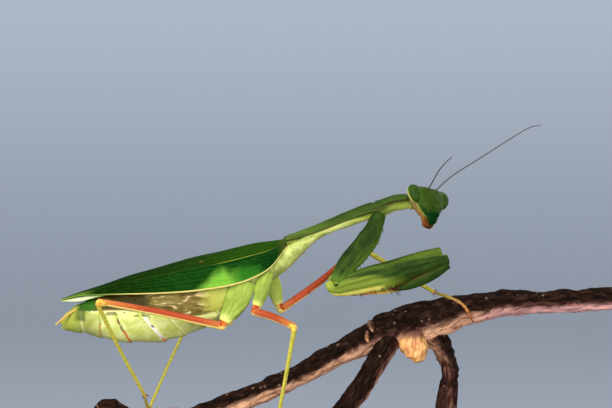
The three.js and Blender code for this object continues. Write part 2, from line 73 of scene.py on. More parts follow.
class Shade:
    """A shader socket that sums can be written with."""

    def __init__(self, tree, socket):
        self.tree, self.socket = tree, socket

    def sum(self, operation, *terms):
        """A Math node of these terms."""
        return add_node(self.tree, "ShaderNodeMath", {"operation": operation}, dict(enumerate(terms)))

    def __add__(self, other):
        return self.sum("ADD", self, other)

    def __radd__(self, other):
        return self.sum("ADD", other, self)

    def __sub__(self, other):
        return self.sum("SUBTRACT", self, other)

    def __rsub__(self, other):
        return self.sum("SUBTRACT", other, self)

    def __mul__(self, other):
        return self.sum("MULTIPLY", self, other)

    def __rmul__(self, other):
        return self.sum("MULTIPLY", other, self)

    def __truediv__(self, other):
        return self.sum("DIVIDE", self, other)

    def __abs__(self):
        return self.sum("ABSOLUTE", self)

    def least(self, other):
        return self.sum("MINIMUM", self, other)

    def wave(self):
        """A sine of it, from 0 to 1."""
        return self.sum("SINE", self) * 0.5 + 0.5

    def over(self, low, high):
        """0 where it is low, 1 where it is high, and a soft step between."""
        return add_node(
            self.tree,
            "ShaderNodeMapRange",
            {"interpolation_type": "SMOOTHSTEP"},
            {"Value": self, "From Min": low, "From Max": high},
        )

    def near(self, centre, half, soft):
        """1 within half of centre, fading out over soft."""
        return 1 - abs(self - centre).over(half, half + soft)


class Finish:
    """A material being mixed: where it is, in millimetres, and the patterns it is painted with."""

    def __init__(self, name, **held):
        self.material = bpy.data.materials.new(name)
        self.material.use_nodes = True
        self.tree = self.material.node_tree
        self.surface = self.tree.nodes["Principled BSDF"]
        for key, value in held.items():
            socket = key.replace("_", " ").title().replace("Ior", "IOR")
            self.surface.inputs[socket].default_value = value
        metres = self.add("ShaderNodeTexCoord", {}, {}, "Object")
        self.at = self.add("ShaderNodeVectorMath", {"operation": "SCALE"}, {0: metres, "Scale": 1 / MM})
        self.x, self.y, self.z = (
            self.add("ShaderNodeSeparateXYZ", {}, {0: self.at}, axis) for axis in "XYZ"
        )

    def add(self, kind, settings, values, output=0):
        """A node of this material."""
        return add_node(self.tree, kind, settings, values, output)

    def own(self, name):
        """A number that the piece's mesh carries at each point."""
        return self.add("ShaderNodeAttribute", {"attribute_name": name}, {}, "Fac")

    def stretched(self, *by):
        """Places drawn out or squeezed along each axis."""
        return self.add("ShaderNodeVectorMath", {"operation": "MULTIPLY"}, {0: self.at, 1: by})

    def round_limb(self, length, girth):
        """Places on a drawn limb: its run squeezed by length, its sides by girth."""
        run, rise, flank = self.own("run"), self.own("rise"), self.own("flank")
        return self.add("ShaderNodeCombineXYZ", {}, {0: run * length, 1: rise * girth, 2: flank * girth})

    def blotches(self, size, detail=3.0, rough=0.55, twist=0.0, places=None):
        """A cloudy pattern from 0 to 1, with blotches about size millimetres wide."""
        values = {"Scale": 1 / size, "Detail": detail, "Roughness": rough, "Distortion": twist}
        return self.add("ShaderNodeTexNoise", {}, {"Vector": places or self.at, **values}, "Fac")

    def cells(self, size, feature="F1", places=None):
        """A pattern of cells about size millimetres wide, as the distance from a middle or an edge."""
        values = {"Vector": places or self.at, "Scale": 1 / size}
        return self.add("ShaderNodeTexVoronoi", {"feature": feature}, values, "Distance")

    def mix(self, share, first, second):
        """first turning into second as share goes from 0 to 1."""
        return self.add("ShaderNodeMix", {"data_type": "RGBA"}, {0: share, 6: first, 7: second}, 2)

    def coats(self, ground, *coats):
        """A ground with coats laid over it in turn, each the share it covers and its colour."""
        for share, colour in coats:
            ground = self.mix(share, ground, colour)
        return ground

    def ramp(self, share, *stops):
        """A colour for each share."""
        return self.add("ShaderNodeValToRGB", {"stops": stops}, {"Fac": share}, "Color")

    def done(self, colour, rough, height, deep):
        """Joins the colour, the roughness and the relief, deep in millimetres, to the surface."""
        relief = self.add("ShaderNodeBump", {}, {"Height": height, "Distance": deep * MM, "Strength": 1.0})
        for key, value in (("Base Color", colour), ("Roughness", rough), ("Normal", relief)):
            if isinstance(value, Shade):
                self.tree.links.new(value.socket, self.surface.inputs[key])
            else:
                self.surface.inputs[key].default_value = value
        return self.material


def start(name):
    """An empty piece at the origin, being edited, with nothing else selected."""
    bpy.ops.object.select_all(action="DESELECT")
    piece = bpy.data.objects.new(name, bpy.data.meshes.new(name))
    bpy.context.collection.objects.link(piece)
    bpy.context.view_layer.objects.active = piece
    piece.select_set(True)
    bpy.ops.object.mode_set(mode="EDIT")
    return piece


# Where the camera stands, and the width of its film and its lens, all in millimetres.
CAMERA_AT = (2.96, -420, 54.74)
FILM_WIDTH, LENS = 36, 133.55
camera = bpy.data.objects.new("camera", bpy.data.cameras.new("camera"))
bpy.context.collection.objects.link(camera)
camera.location = mm(*CAMERA_AT)
camera.rotation_euler = (math.radians(90), 0, 0)
camera.data.sensor_width, camera.data.lens = FILM_WIDTH, LENS
camera.data.clip_start, camera.data.clip_end = 0.01, 20
bpy.context.scene.camera = camera
bpy.context.scene.view_settings.view_transform = "Standard"

# The dish is flat in the middle and curves up to an upright rim. Its sizes are in metres.
FLAT_RADIUS, RIM_OUT, RIM_HIGH, DISH_RINGS = 0.5, 1.05, 0.8, 24
dish = start("paper_dish")
for k in range(DISH_RINGS + 1):
    turn = math.radians(90) * k / DISH_RINGS
    bpy.ops.mesh.primitive_circle_add(
        vertices=64,
        radius=FLAT_RADIUS + RIM_OUT * math.sin(turn),
        fill_type="NOTHING" if k else "NGON",
        location=(0, 0, RIM_HIGH * (1 - math.cos(turn))),
    )
bpy.ops.mesh.select_all(action="SELECT")
bpy.ops.mesh.select_non_manifold()
bpy.ops.mesh.bridge_edge_loops()
bpy.ops.mesh.select_all(action="SELECT")
bpy.ops.mesh.normals_make_consistent(inside=True)
bpy.ops.object.mode_set(mode="OBJECT")
if dish.data.polygons[0].normal.z < 0:
    dish.data.flip_normals()
bpy.ops.object.shade_smooth()
paper = Finish("pale_paper", specular_ior_level=0.2)
# Painted shade: the paper is painted darker low down on the floor and paler up the rim.
paper_with_painted_shade = paper.mix(paper.z.over(-200, 260), paint(92, 98, 108), paint(214, 220, 230))
dish.data.materials.append(paper.done(paper_with_painted_shade, 0.85, paper.blotches(0.4), 0.02))

# The low boxes light only the model and the large one only the paper, so the paper is even all round.
on_model, on_paper = bpy.data.collections.new("not_the_paper"), bpy.data.collections.new("only_the_paper")
for group, state in ((on_model, "EXCLUDE"), (on_paper, "INCLUDE")):
    group.objects.link(dish)
    group.collection_objects[0].light_linking.link_state = state
MODEL_MIDDLE, PAPER_MIDDLE = (2, 0, 38), (0, 100, 0)
for name, place, aim, size, watts, colour, group in (
    ("soft_box_left", (-310, -430, 230), MODEL_MIDDLE, 0.36, 3.0, (1, 0.96, 0.88), on_model),
    ("soft_box_low", (150, -480, 110), MODEL_MIDDLE, 0.22, 1.5, (1, 0.94, 0.82), on_model),
    ("soft_box_top", (-60, -260, 520), MODEL_MIDDLE, 0.45, 1.6, (1, 1, 0.98), None),
    ("soft_box_back", (260, 420, 240), MODEL_MIDDLE, 0.40, 1.3, (0.97, 0.99, 1), on_model),
    ("soft_box_paper", (0, 100, 1500), PAPER_MIDDLE, 1.20, 9.0, (0.97, 0.98, 1), on_paper),
):
    box = bpy.data.objects.new(name, bpy.data.lights.new(name, "AREA"))
    bpy.context.collection.objects.link(box)
    box.location = mm(*place)
    box.rotation_euler = (mm(*aim) - box.location).to_track_quat("-Z", "Y").to_euler()
    box.data.size, box.data.energy, box.data.color = size, watts, colour
    if group:
        box.light_linking.receiver_collection = group
sky = bpy.data.worlds.new("room_light")
sky.use_nodes = True
sky.node_tree.nodes["Background"].inputs["Color"].default_value = paint(214, 222, 232)
sky.node_tree.nodes["Background"].inputs["Strength"].default_value = 0.6
bpy.context.scene.world = sky


# ---- The base ----------------------------------------------------------------------------------
# A rounded plate of dark oiled walnut with a groove round its top, on a thin green felt.
# The plate is a block with its corners and edges worked; the felt is glued underneath.
def apply(piece, kind, **settings):
    """A modifier made and applied."""
    bpy.context.view_layer.objects.active = piece
    added = piece.modifiers.new(kind, kind)
    for key, value in settings.items():
        setattr(added, key, value)
    bpy.ops.object.modifier_apply(modifier=added.name)


def fix(piece, material, slot, *nodes):
    """Paints a finished piece and fixes it to the model in the place of these nodes."""
    piece.data.materials.clear()
    piece.data.materials.append(material)
    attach(piece, "root")
    if nodes:
        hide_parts(*nodes)


def choose(piece, kind, wanted):
    """Selects the edges or faces that wanted says yes to, by their middle in millimetres and the way
    they run or face."""
    bpy.ops.mesh.select_mode(type="VERT")
    bpy.ops.mesh.select_all(action="DESELECT")
    bpy.ops.mesh.select_mode(type=kind)
    bpy.ops.object.mode_set(mode="OBJECT")
    points = [v.co / MM for v in piece.data.vertices]
    for part in piece.data.edges if kind == "EDGE" else piece.data.polygons:
        corners = [points[k] for k in part.vertices]
        middle = sum(corners, Vector()) / len(corners)
        facing = (corners[1] - corners[0]).normalized() if kind == "EDGE" else part.normal
        part.select = bool(wanted(middle, facing))
    bpy.ops.object.mode_set(mode="EDIT")


def block(name, bottom, top, size, corner, low_edge, high_edge):
    """A plate with round corners, from one height to another, with its edges broken."""
    piece = start(name)
    middle, tall = (bottom + top) / 2, top - bottom
    bpy.ops.mesh.primitive_cube_add(size=1, location=mm(0, 0, middle), scale=mm(*size, tall))
    choose(piece, "EDGE", lambda middle, facing: abs(facing.z) > 0.9)
    bpy.ops.mesh.bevel(offset=corner * MM, segments=14, affect="EDGES")
    for level, by in ((bottom, low_edge), (top, high_edge)):
        choose(piece, "EDGE", lambda middle, facing: abs(middle.z - level) < 1e-3)
        bpy.ops.mesh.bevel(offset=by * MM, segments=4, affect="EDGES")
    return piece


PLATE_SIZE, PLATE_CORNER, PLATE_BOTTOM, PLATE_TOP = (92, 50), 14, 0.4, 6.0
MARGIN, GROOVE_HALF, GROOVE_DEEP = 2.2, 0.5, 0.35
FELT_SIZE, FELT_CORNER, FELT_TOP = (88.6, 46.6), 12.4, 0.5
base = block("base_plate", PLATE_BOTTOM, PLATE_TOP, PLATE_SIZE, PLATE_CORNER, 0.3, 1.0)
choose(base, "FACE", lambda middle, facing: facing.z > 0.99 and middle.z > PLATE_TOP - 0.01)
bpy.ops.mesh.inset(thickness=MARGIN * MM, depth=0)
bpy.ops.mesh.inset(thickness=GROOVE_HALF * MM, depth=-GROOVE_DEEP * MM)
bpy.ops.mesh.inset(thickness=GROOVE_HALF * MM, depth=GROOVE_DEEP * MM)
bpy.ops.object.mode_set(mode="OBJECT")
apply(base, "BEVEL", width=0.12 * MM, segments=2, limit_method="ANGLE", angle_limit=math.radians(25))
bpy.ops.object.shade_smooth_by_angle(angle=math.radians(40))
walnut = Finish("oiled_walnut", coat_weight=0.25, coat_roughness=0.25)
grain = walnut.blotches(2.2, 5, 0.6, 0.6, walnut.stretched(0.06, 1.0, 1.6))
pores = walnut.blotches(0.28, 2, 0.5, 0.2, walnut.stretched(0.05, 1.0, 1.0)).over(0.56, 0.68)
tone = walnut.ramp(
    grain,
    (0.25, paint(38, 22, 13)),
    (0.48, paint(74, 44, 25)),
    (0.62, paint(98, 61, 35)),
    (0.8, paint(58, 34, 20)),
)
tone = walnut.mix(pores * 0.7, tone, paint(24, 14, 9))
oiled_walnut = walnut.done(tone, grain * 0.18 + 0.3 + pores * 0.2, grain * 0.4 - pores, 0.05)
fix(base, oiled_walnut, "stand_wood", "stand_base")

felt = block("base_felt", 0, FELT_TOP, FELT_SIZE, FELT_CORNER, 0.1, 0.1)
bpy.ops.object.mode_set(mode="OBJECT")
baize = Finish("green_felt", sheen_weight=0.4, sheen_roughness=0.5)
fuzz = baize.blotches(0.25, 6, 0.7, 1.5)
green_felt = baize.done(baize.mix(fuzz, paint(20, 46, 30), paint(44, 82, 54)), 0.95, fuzz, 0.12)
fix(felt, green_felt, "stand_wood")


# ---- The rods ----------------------------------------------------------------------------------
# Two short brass rods, turned with a foot and a small cup, that carry the branch.
# Each is drawn out of rings and screwed into the plate; the branch rests in the cups.
def through(points, count):
    """count places on a smooth line through a few given ones, each a row of numbers."""
    spans, line = len(points) - 1, []
    for k in range(count):
        t = spans * k / (count - 1)
        i = min(int(t), spans - 1)
        f, here, there = t - i, points[i], points[i + 1]
        before = points[i - 1] if i else [2 * a - b for a, b in zip(here, there)]
        after = points[i + 2] if i + 2 <= spans else [2 * b - a for a, b in zip(here, there)]
        line.append([
            0.5 * (2 * b + (c - a) * f + (2 * a - 5 * b + 4 * c - d) * f * f + (3 * b - a - 3 * c + d) * f**3)
            for a, b, c, d in zip(before, here, there, after)
        ])  # fmt: skip
    return line


# How a round end closes: how far out each ring lies, and its size, as shares of the last half width.
END_RINGS = ((0.25, 0.86), (0.42, 0.5))


def draw_out(name, stations, rings, sides=12, levels=2, up=(0, 0, 1), round_ends=True, square=(1, 1)):
    """A limb drawn through stations, each x, y, z, half its width and half its height, in millimetres.
    It has this many rings, or one at each station for None. They are bridged, closed and subdivided;
    square under 1 flattens their sides. Each point keeps how far along it lies, as a share and as a run
    in millimetres, how far up it faces, from -1 to 1, and how far it faces to the side."""
    line = through(stations, rings) if rings else [list(s) for s in stations]
    # A subdivided ring draws in, so it is made this much larger first.
    draw_in = (2 + math.cos(2 * math.pi / sides)) / 3
    centres = [Vector(s[:3]) for s in line]
    if round_ends:
        for end, inner in ((0, 1), (-1, -2)):
            width, height = line[end][3], line[end][4]
            out = (centres[end] - centres[inner]).normalized() * min(width, height)
            for push, share in END_RINGS:
                ring = [*(centres[end] + out * push), width * share, height * share]
                line = [ring, *line] if end == 0 else [*line, ring]
        centres = [Vector(s[:3]) for s in line]
    piece, sideways = start(name), []
    for centre in centres:
        bpy.ops.mesh.primitive_circle_add(vertices=sides, radius=MM, location=centre * MM)
    bpy.ops.object.mode_set(mode="OBJECT")
    for k, (*_, width, height) in enumerate(line):
        ahead = (centres[min(k + 1, len(line) - 1)] - centres[max(k - 1, 0)]).normalized()
        side = ahead.cross(Vector(up)).normalized()
        sideways.append(side)
        turn = Matrix((side * width, side.cross(ahead) * height, ahead)).transposed()
        for vertex in piece.data.vertices[k * sides : (k + 1) * sides]:
            out = vertex.co / MM - centres[k]
            out = Vector([math.copysign(abs(part) ** power, part) for part, power in zip(out, (*square, 1))])
            vertex.co = (centres[k] + turn @ out / draw_in) * MM
    bpy.ops.object.mode_set(mode="EDIT")
    bpy.ops.mesh.select_all(action="SELECT")
    bpy.ops.mesh.bridge_edge_loops()
    bpy.ops.mesh.select_all(action="SELECT")
    bpy.ops.mesh.fill_holes(sides=0)
    bpy.ops.mesh.select_all(action="SELECT")
    bpy.ops.mesh.normals_make_consistent(inside=False)
    bpy.ops.object.mode_set(mode="OBJECT")
    mesh, facts = piece.data, {"along": [], "run": [], "rise": [], "flank": []}
    runs = [0.0]
    for here, there in zip(centres, centres[1:]):
        runs.append(runs[-1] + (there - here).length)
    for k, vertex in enumerate(mesh.vertices):
        ring = k // sides
        out = (vertex.co / MM - centres[ring]).normalized()
        facts["along"].append(ring / (len(line) - 1))
        facts["run"].append(runs[ring])
        facts["rise"].append(out.z)
        facts["flank"].append(out.dot(sideways[ring]))
    for fact, values in facts.items():
        mesh.attributes.new(fact, "FLOAT", "POINT").data.foreach_set("value", values)
    apply(piece, "SUBSURF", levels=levels, render_levels=levels)
    bpy.ops.object.shade_smooth()
    return piece


brass = Finish("satin_brass", metallic=1.0)
scratches = brass.blotches(0.35, 4, 0.6, 0, brass.stretched(1, 1, 0.1))
brass_tone = brass.mix(brass.blotches(2.5), paint(196, 158, 84), paint(222, 186, 112))
satin_brass = brass.done(brass_tone, scratches * 0.2 + 0.2, scratches, 0.01)
# Heights and radii of the turned foot, and of the cup below the top of the rod.
FOOT = [
    (5.5, 2.5), (6.02, 2.5), (6.1, 2.6), (6.5, 2.6), (6.62, 2.45), (6.8, 1.75), (7.15, 1.65), (7.3, 1.34),
    (7.6, 1.25),
]  # fmt: skip
CUP = [
    (-2.4, 1.25), (-2.2, 1.32), (-2.0, 1.55), (-1.8, 1.32), (-1.6, 1.3), (-1.1, 1.5), (-0.5, 1.95), (0, 2.05),
]  # fmt: skip
for name, x, y, top in (("rear", -30, 1.9, 12.6), ("front", 28.9, 1.4, 15.0)):
    turned = FOOT + [(top + below, radius) for below, radius in CUP]
    rings = [(x, y, height, radius, radius) for height, radius in turned]
    rod = draw_out("rod_" + name, rings, None, 20, 1, up=(1, 0, 0), round_ends=False)
    fix(rod, satin_brass, "stand_brass", "stand_rod_" + name)


# ---- The branch --------------------------------------------------------------------------------
# A short cut length of dark twig, swollen where two side shoots leave it, with a bud on top.
# It is drawn out of rings, its bark is pressed in ridges and knots, and its ends are sawn.
def press(piece, by):
    """Moves each point of a piece outwards by the millimetres that by gives for its place there."""
    facts = {name: piece.data.attributes[name].data for name in ("along", "rise", "flank")}
    normals = [v.normal.copy() for v in piece.data.vertices]
    for k, vertex in enumerate(piece.data.vertices):
        here = vertex.co / MM
        vertex.co += normals[k] * MM * by(here, *(facts[name][k].value for name in facts))
    piece.data.update()
    return piece


def bump(distance, reach):
    """1 at no distance, falling smoothly to 0 at reach."""
    share = max(0.0, 1 - abs(distance) / reach)
    return share * share * (3 - 2 * share)


# Each knot's place, how wide it is and how far it stands out.
KNOTS = [
    ((-34.5, 1.0, 17.6), 1.5, 0.9), ((-32.6, 2.4, 18.2), 1.6, 0.9), ((-30.2, 0.6, 17.4), 1.4, 0.6),
    ((-35.0, 3.4, 13.0), 1.3, 0.5), ((-31.5, 3.6, 16.6), 1.4, 0.6), ((13.6, -1.2, 31.9), 1.3, 0.35),
    ((16.4, 0.4, 33.2), 1.8, 0.5), ((21.2, 1.9, 34.2), 2.2, 0.5), ((27.6, -1.8, 36.0), 2.0, 0.45),
    ((33.8, -1.2, 36.9), 1.6, 0.4), ((39.5, 1.2, 38.1), 1.5, 0.35), ((43.4, -1.6, 37.4), 1.4, 0.3),
    ((4.8, -1.2, 26.4), 1.4, 0.35), ((-3.6, 1.0, 22.9), 1.5, 0.4), ((50.5, -1.3, 38.0), 1.4, 0.3),
    ((-13.0, -1.2, 18.4), 1.5, 0.35),
]  # fmt: skip


def bark_relief(here, along, rise, flank):
    """Bark: long ridges, lumps and knots, fading out at the ends."""
    lump = noise.noise(here * 0.32) * 0.3 + noise.noise(here * 0.8 + Vector((7, 3, 1))) * 0.18
    ridge = noise.noise(Vector((along * 30, rise * 2.6, flank * 2.6))) * 0.24
    knots = sum(tall * bump((here - Vector(spot)).length, 1.25 * wide) for spot, wide, tall in KNOTS)
    ends = min(1, 12 * min(along, 1 - along) + 0.2)
    return (lump + ridge) * ends + knots


CUT_REACH = 3


def saw(piece, material, *ends):
    """Gives the faces of each sawn end, a place and the way it faces, the cut wood."""
    piece.data.materials.append(material)
    for face in piece.data.polygons:
        for place, facing in ends:
            close = (face.center / MM - Vector(place)).length < CUT_REACH
            if close and face.normal.dot(Vector(facing).normalized()) > 0.8:
                face.material_index = 1


bark = Finish("twig_bark", specular_ior_level=0.04)
facing, round_twig = bark.own("rise"), bark.round_limb(0.34, 2.2)
fibres = bark.blotches(0.62, 7, 0.66, 0.5, round_twig)
furrows = bark.blotches(1.5, 4, 0.6, 1.2, round_twig)
patches = bark.blotches(4.2, 4, 0.6, 0.5)
grains = bark.blotches(0.34, 3, 0.6)
flecks = bark.cells(1.7).over(0.2, 0.1) * bark.blotches(3.1).over(0.42, 0.55)
# Painted shade darkens the top of the bark, and painted light from below lightens its underside, orange
# towards the rear and pink at the front end.
painted_shade_on_top = (facing + 0.7 * (patches - 0.5)).over(-0.45, 0.15)
painted_light_below = (0.9 * (furrows - 0.5) - facing + 0.25 * bark.x.over(0, -8)).over(0.1, 0.75)
underlit_orange_grey = bark.mix(fibres, paint(206, 122, 84), paint(255, 216, 180))
tone = bark.coats(
    bark.mix(furrows.over(0.36, 0.62), paint(46, 22, 18), paint(92, 56, 50)),
    (fibres.over(0.46, 0.72) * 0.6, paint(140, 98, 90)),
    (painted_shade_on_top * 0.94, bark.mix(fibres.over(0.44, 0.72), paint(10, 5, 3), paint(50, 32, 22))),
    (painted_light_below * fibres.over(0.3, 0.5), bark.mix(bark.x.over(30, 40), underlit_orange_grey, paint(222, 166, 160))),
    (flecks * 0.35, paint(176, 140, 118)),
)
bark_height = fibres * 0.8 + furrows * 1.1 + grains * 0.35 + flecks * 0.35
twig_bark = bark.done(tone, 0.75 + 0.2 * fibres, bark_height, 0.34)

sawn = Finish("sawn_end", specular_ior_level=0.3)
fleck = sawn.blotches(0.5, 4)
year_rings = (sawn.cells(7.5) * 70 + fleck * 2.2).wave()
tone = sawn.mix(year_rings * 0.6 + fleck * 0.4, paint(206, 158, 98), paint(148, 98, 54))
cut_wood = sawn.done(tone, 0.8, year_rings * 0.5 + fleck, 0.05)

# The middle of the twig from its rear end to its front end, with half its thickness.
BRANCH = [
    (-36.2, 2.2, 14.9, 2.0), (-35.2, 2.2, 15.1, 2.45), (-33.4, 2.1, 15.3, 2.6), (-28, 1.8, 14.1, 2.05),
    (-22, 1.2, 14.1, 1.95), (-16.7, 0.6, 15.7, 1.95), (-8.7, 0, 18.6, 1.95), (0.6, 0, 22.5, 2.0),
    (10, 0, 27.7, 2.25), (15, 0, 30, 2.75), (20.4, 0, 31.8, 3.7), (27, 0, 33.6, 3.5), (33, 0, 35.2, 2.75),
    (41, 0.3, 36.4, 2.3), (48, 0.7, 36.6, 2.05), (55, 0.9, 36.9, 2.15), (61.1, 1.1, 37.3, 2.2),
]  # fmt: skip
branch = draw_out("branch", [(*s, s[3]) for s in BRANCH], 78, 16, round_ends=False)
press(branch, bark_relief)
fix(branch, twig_bark, "bark", "perch_branch")
saw(branch, cut_wood, (BRANCH[0][:3], (-1, 0, -0.2)), (BRANCH[-1][:3], (1, 0, 0.06)))

# The bud is a small ball on a collar, and leaf scars stand round the twig below it.
bud = draw_out(
    "bud",
    [
        (15.3, -1.6, 31.2, 1.1, 1.0), (15.1, -1.9, 32.0, 0.75, 0.75), (15.0, -2.0, 32.5, 0.8, 0.8),
        (14.9, -2.1, 33.1, 0.62, 0.6),
    ],
    9, up=(1, 0, 0),
)  # fmt: skip
press(bud, lambda here, *_: noise.noise(here * 1.9) * 0.16)
fix(bud, twig_bark, "bark")
scars = draw_out(
    "leaf_scars",
    [(14.3, -2.6, 29.5, 0.28, 0.3), (14.1, -2.75, 30.3, 0.4, 0.34), (14.2, -2.45, 31.2, 0.3, 0.3)],
    8, 10, up=(1, 0, 0),
)  # fmt: skip
press(scars, lambda here, *_: noise.noise(here * 2.6) * 0.16)


# ---- The side shoots ---------------------------------------------------------------------------
# Two thinner shoots hang from the swelling: the left one comes forward and runs back under the
# near middle foot, the right one goes straight down on to the front rod. Same bark, drawn out.
SHOOTS = {
    "left": (
        [
            (18.9, -1, 30.5, 2.3), (16.2, -2.6, 26, 2.0), (13.2, -5, 21.6, 1.95), (10, -8.4, 17.7, 1.95),
            (5.8, -11.5, 15, 1.8), (0.1, -13.3, 13.9, 1.6), (-5, -14, 13.4, 1.5), (-10.4, -14.4, 13, 1.35),
        ],
        (-1, 0, 0),
    ),
    "right": (
        [
            (25.8, 0, 31.4, 2.3), (28, 0.4, 28.4, 1.9), (29.5, 0.8, 24.5, 1.6), (29.4, 1.1, 21, 1.75),
            (29, 1.3, 17.3, 2.0), (28.9, 1.4, 15, 1.9),
        ],
        (0, 0, -1),
    ),
}  # fmt: skip


def shoot_relief(here, along, rise, flank):
    """The same bark, a little finer, and full where the shoot leaves the twig."""
    return bark_relief(here, min(along + 0.4, 1), rise, flank) * 0.9


for name, (path, cut_facing) in SHOOTS.items():
    shoot = draw_out("shoot_" + name, [(*s, s[3]) for s in path], 34, 14, up=(0, 1, 0.2), round_ends=False)
    press(shoot, shoot_relief)
    fix(shoot, twig_bark, "bark", "perch_fork_" + name)
    saw(shoot, cut_wood, (path[-1][:3], cut_facing))


# ---- The torn patch ----------------------------------------------------------------------------
# Pale orange wood, left bare where a third shoot broke away between the two.
# A drawn lump with splinters pressed along it, with painted shade at its upper rim.
patch = draw_out(
    "torn_patch",
    [
        (21.7, -1.4, 30.9, 1.3, 1.0), (22.2, -2.2, 29.9, 2.2, 1.9), (22.9, -2.9, 28.6, 2.45, 1.9),
        (23.4, -3.3, 27.3, 2.0, 1.4), (23.7, -3.3, 26.2, 1.1, 0.8),
    ],
    16, 16, up=(0, -1, 0.4),
)  # fmt: skip


def splinter_relief(here, *_):
    """Splinters down the patch, on wide lumps."""
    splinter = noise.noise(Vector((here.x * 1.7, here.y * 0.8, here.z * 0.5)))
    return splinter * 0.22 + noise.noise(here * 0.6) * 0.55


press(patch, splinter_relief)
bare = Finish(
    "bare_wood", subsurface_weight=0.15, subsurface_radius=(1.0, 0.5, 0.25), subsurface_scale=0.0006
)
splinters = bare.blotches(0.7, 5, 0.6, 0.5, bare.stretched(1.8, 1.0, 0.4))
warm = bare.ramp(
    splinters,
    (0.2, paint(120, 62, 30)),
    (0.42, paint(196, 126, 72)),
    (0.62, paint(232, 186, 118)),
    (0.85, paint(246, 216, 158)),
)
# Painted shade: the upper rim, under the twig, is darkened.
rim = (bare.z + 0.6 * bare.blotches(1.6)).over(29.6, 31.2)
bare_wood = bare.done(bare.mix(rim, warm, paint(96, 52, 30)), 0.62, splinters, 0.18)
fix(patch, bare_wood, "cut_wood", "perch_scar")
fix(scars, bare_wood, "cut_wood")


# ---- The rear thorax ---------------------------------------------------------------------------
# The wide part of the trunk under the wing roots, of soft side plates with sunk seams.
# It is drawn out of rings and its plates are pressed in; the middle and hind legs hang from it.
def skin(name, **held):
    """A finish for the animal's waxy skin, which lets a little light through."""
    settings = dict(
        subsurface_weight=0.2, subsurface_radius=(0.9, 1.0, 0.35), subsurface_scale=0.0004,
        coat_weight=0.0, coat_roughness=0.3, specular_ior_level=0.07,
    )  # fmt: skip
    return Finish(name, **{**settings, **held})


thorax = draw_out(
    "rear_thorax",
    [
        (8.2, 0, 50.7, 0.9, 0.4), (5.6, 0, 49.4, 1.25, 0.9), (3.4, 0, 48.2, 1.5, 1.15),
        (0.9, 0, 46.3, 1.7, 1.65), (-1.6, 0, 44.8, 2.05, 2.45), (-3.6, 0, 43.8, 2.8, 2.75),
        (-7.6, 0, 41.6, 3.35, 3.1), (-11.4, 0, 39.7, 3.2, 3.1),
    ],
    26, 16,
)  # fmt: skip
# Where each slanting seam crosses the trunk, and how deep it is sunk.
THORAX_SEAMS = ((2.6, 0.22), (0.2, 0.3), (-2.4, 0.2), (-5.2, 0.34), (-8.0, 0.22))


def thorax_relief(here, along, rise, flank):
    """Slanting seams between the side plates, and a level one above them."""
    seams = sum(bump(here.x + 0.45 * (here.z - 42) - at, 0.42) * deep for at, deep in THORAX_SEAMS)
    level = bump(here.z - 0.55 * here.x - 46.4, 0.45) * 0.18
    return noise.noise(here * 0.7) * 0.14 - (seams + level) * min(1, abs(flank) * 1.4)


press(thorax, thorax_relief)
flesh = skin("rear_thorax_skin")
cloud, small = flesh.blotches(1.9, 3, 0.5, 0.3), flesh.blotches(0.55, 4, 0.6)
tone = flesh.coats(
    flesh.mix(cloud.over(0.38, 0.62), paint(156, 168, 84), paint(186, 194, 112)),
    (flesh.blotches(1.2, 2, 0.5, 1.0).over(0.54, 0.68) * 0.6, paint(200, 206, 140)),
    ((flesh.z - 0.5 * flesh.x).over(46.4, 48.0) * 0.5, paint(120, 140, 50)),
    (small.over(0.62, 0.72) * flesh.blotches(2.6).over(0.52, 0.6) * 0.6, paint(214, 110, 62)),
)
thorax_skin = flesh.done(tone, 0.42 + 0.2 * small, small + cloud, 0.06)
fix(thorax, thorax_skin, "pale_green", "pterothorax")


# ---- The abdomen -------------------------------------------------------------------------------
# The full body of a female: soft olive back plates and bright belly plates that lap like tiles.
# It is drawn out of rings, and each plate is pressed to stand proud at its rear edge.

# Where each plate begins at a level, from rear to front, with how much its seam leans from there; and
# the seam along the side.
LEAN_LEVEL = 33
PLATE_SEAMS = [
    (-38.6, 0.1), (-34.7, 0.0), (-31.0, 0.5), (-25.45, 0.75), (-21.4, 0.9), (-16.4, 0.9), (-11.6, 0.9),
]  # fmt: skip
SIDE_SEAM = [(-44, 34.6), (-37, 34.9), (-31, 35.1), (-24, 34.3), (-17, 34.1), (-12, 35.1), (-8, 37)]

abdomen = draw_out(
    "abdomen",
    [
        (-9.6, 0, 39.6, 3.0, 3.3), (-12.6, 0, 38.7, 3.85, 4.7), (-17, 0, 37.4, 4.6, 5.45),
        (-24, 0, 35.3, 5.05, 5.85), (-31.4, 0, 34.2, 4.55, 4.85), (-37, 0, 33.8, 3.2, 3.2),
        (-40.3, 0, 33.0, 1.7, 1.85), (-41.6, 0, 32.4, 0.85, 1.0),
    ],
    56, 22,
)  # fmt: skip


def seam_height(x):
    """How high the seam between the back plates and the belly plates runs."""
    for (x0, z0), (x1, z1) in zip(SIDE_SEAM, SIDE_SEAM[1:]):
        if x <= x1:
            return z0 + (z1 - z0) * max(0, (x - x0) / (x1 - x0))
    return SIDE_SEAM[-1][1]


def abdomen_relief(here, along, rise, flank):
    """Lapping plates, a side seam and the wrinkles of soft skin above it."""
    ahead = [here.x + lean * (here.z - LEAN_LEVEL) - at for at, lean in PLATE_SEAMS]
    to_edge = 1.0
    for rear, front in zip(ahead, ahead[1:]):
        if rear >= 0 > front:
            to_edge = 1 - (1 - rear / (rear - front)) ** 2
    above = here.z - seam_height(here.x)
    seam = bump(above, 0.5) * 0.2 * min(1, abs(flank) * 1.5)
    lap = (0.26 if above < 0 else 0.16) * to_edge**3
    wrinkle = 0.16 * max(0, min(1, above)) * noise.noise(Vector((here.x * 0.8, here.y * 0.6, here.z * 1.6)))
    return lap - seam + wrinkle + noise.noise(here * 0.45) * 0.12


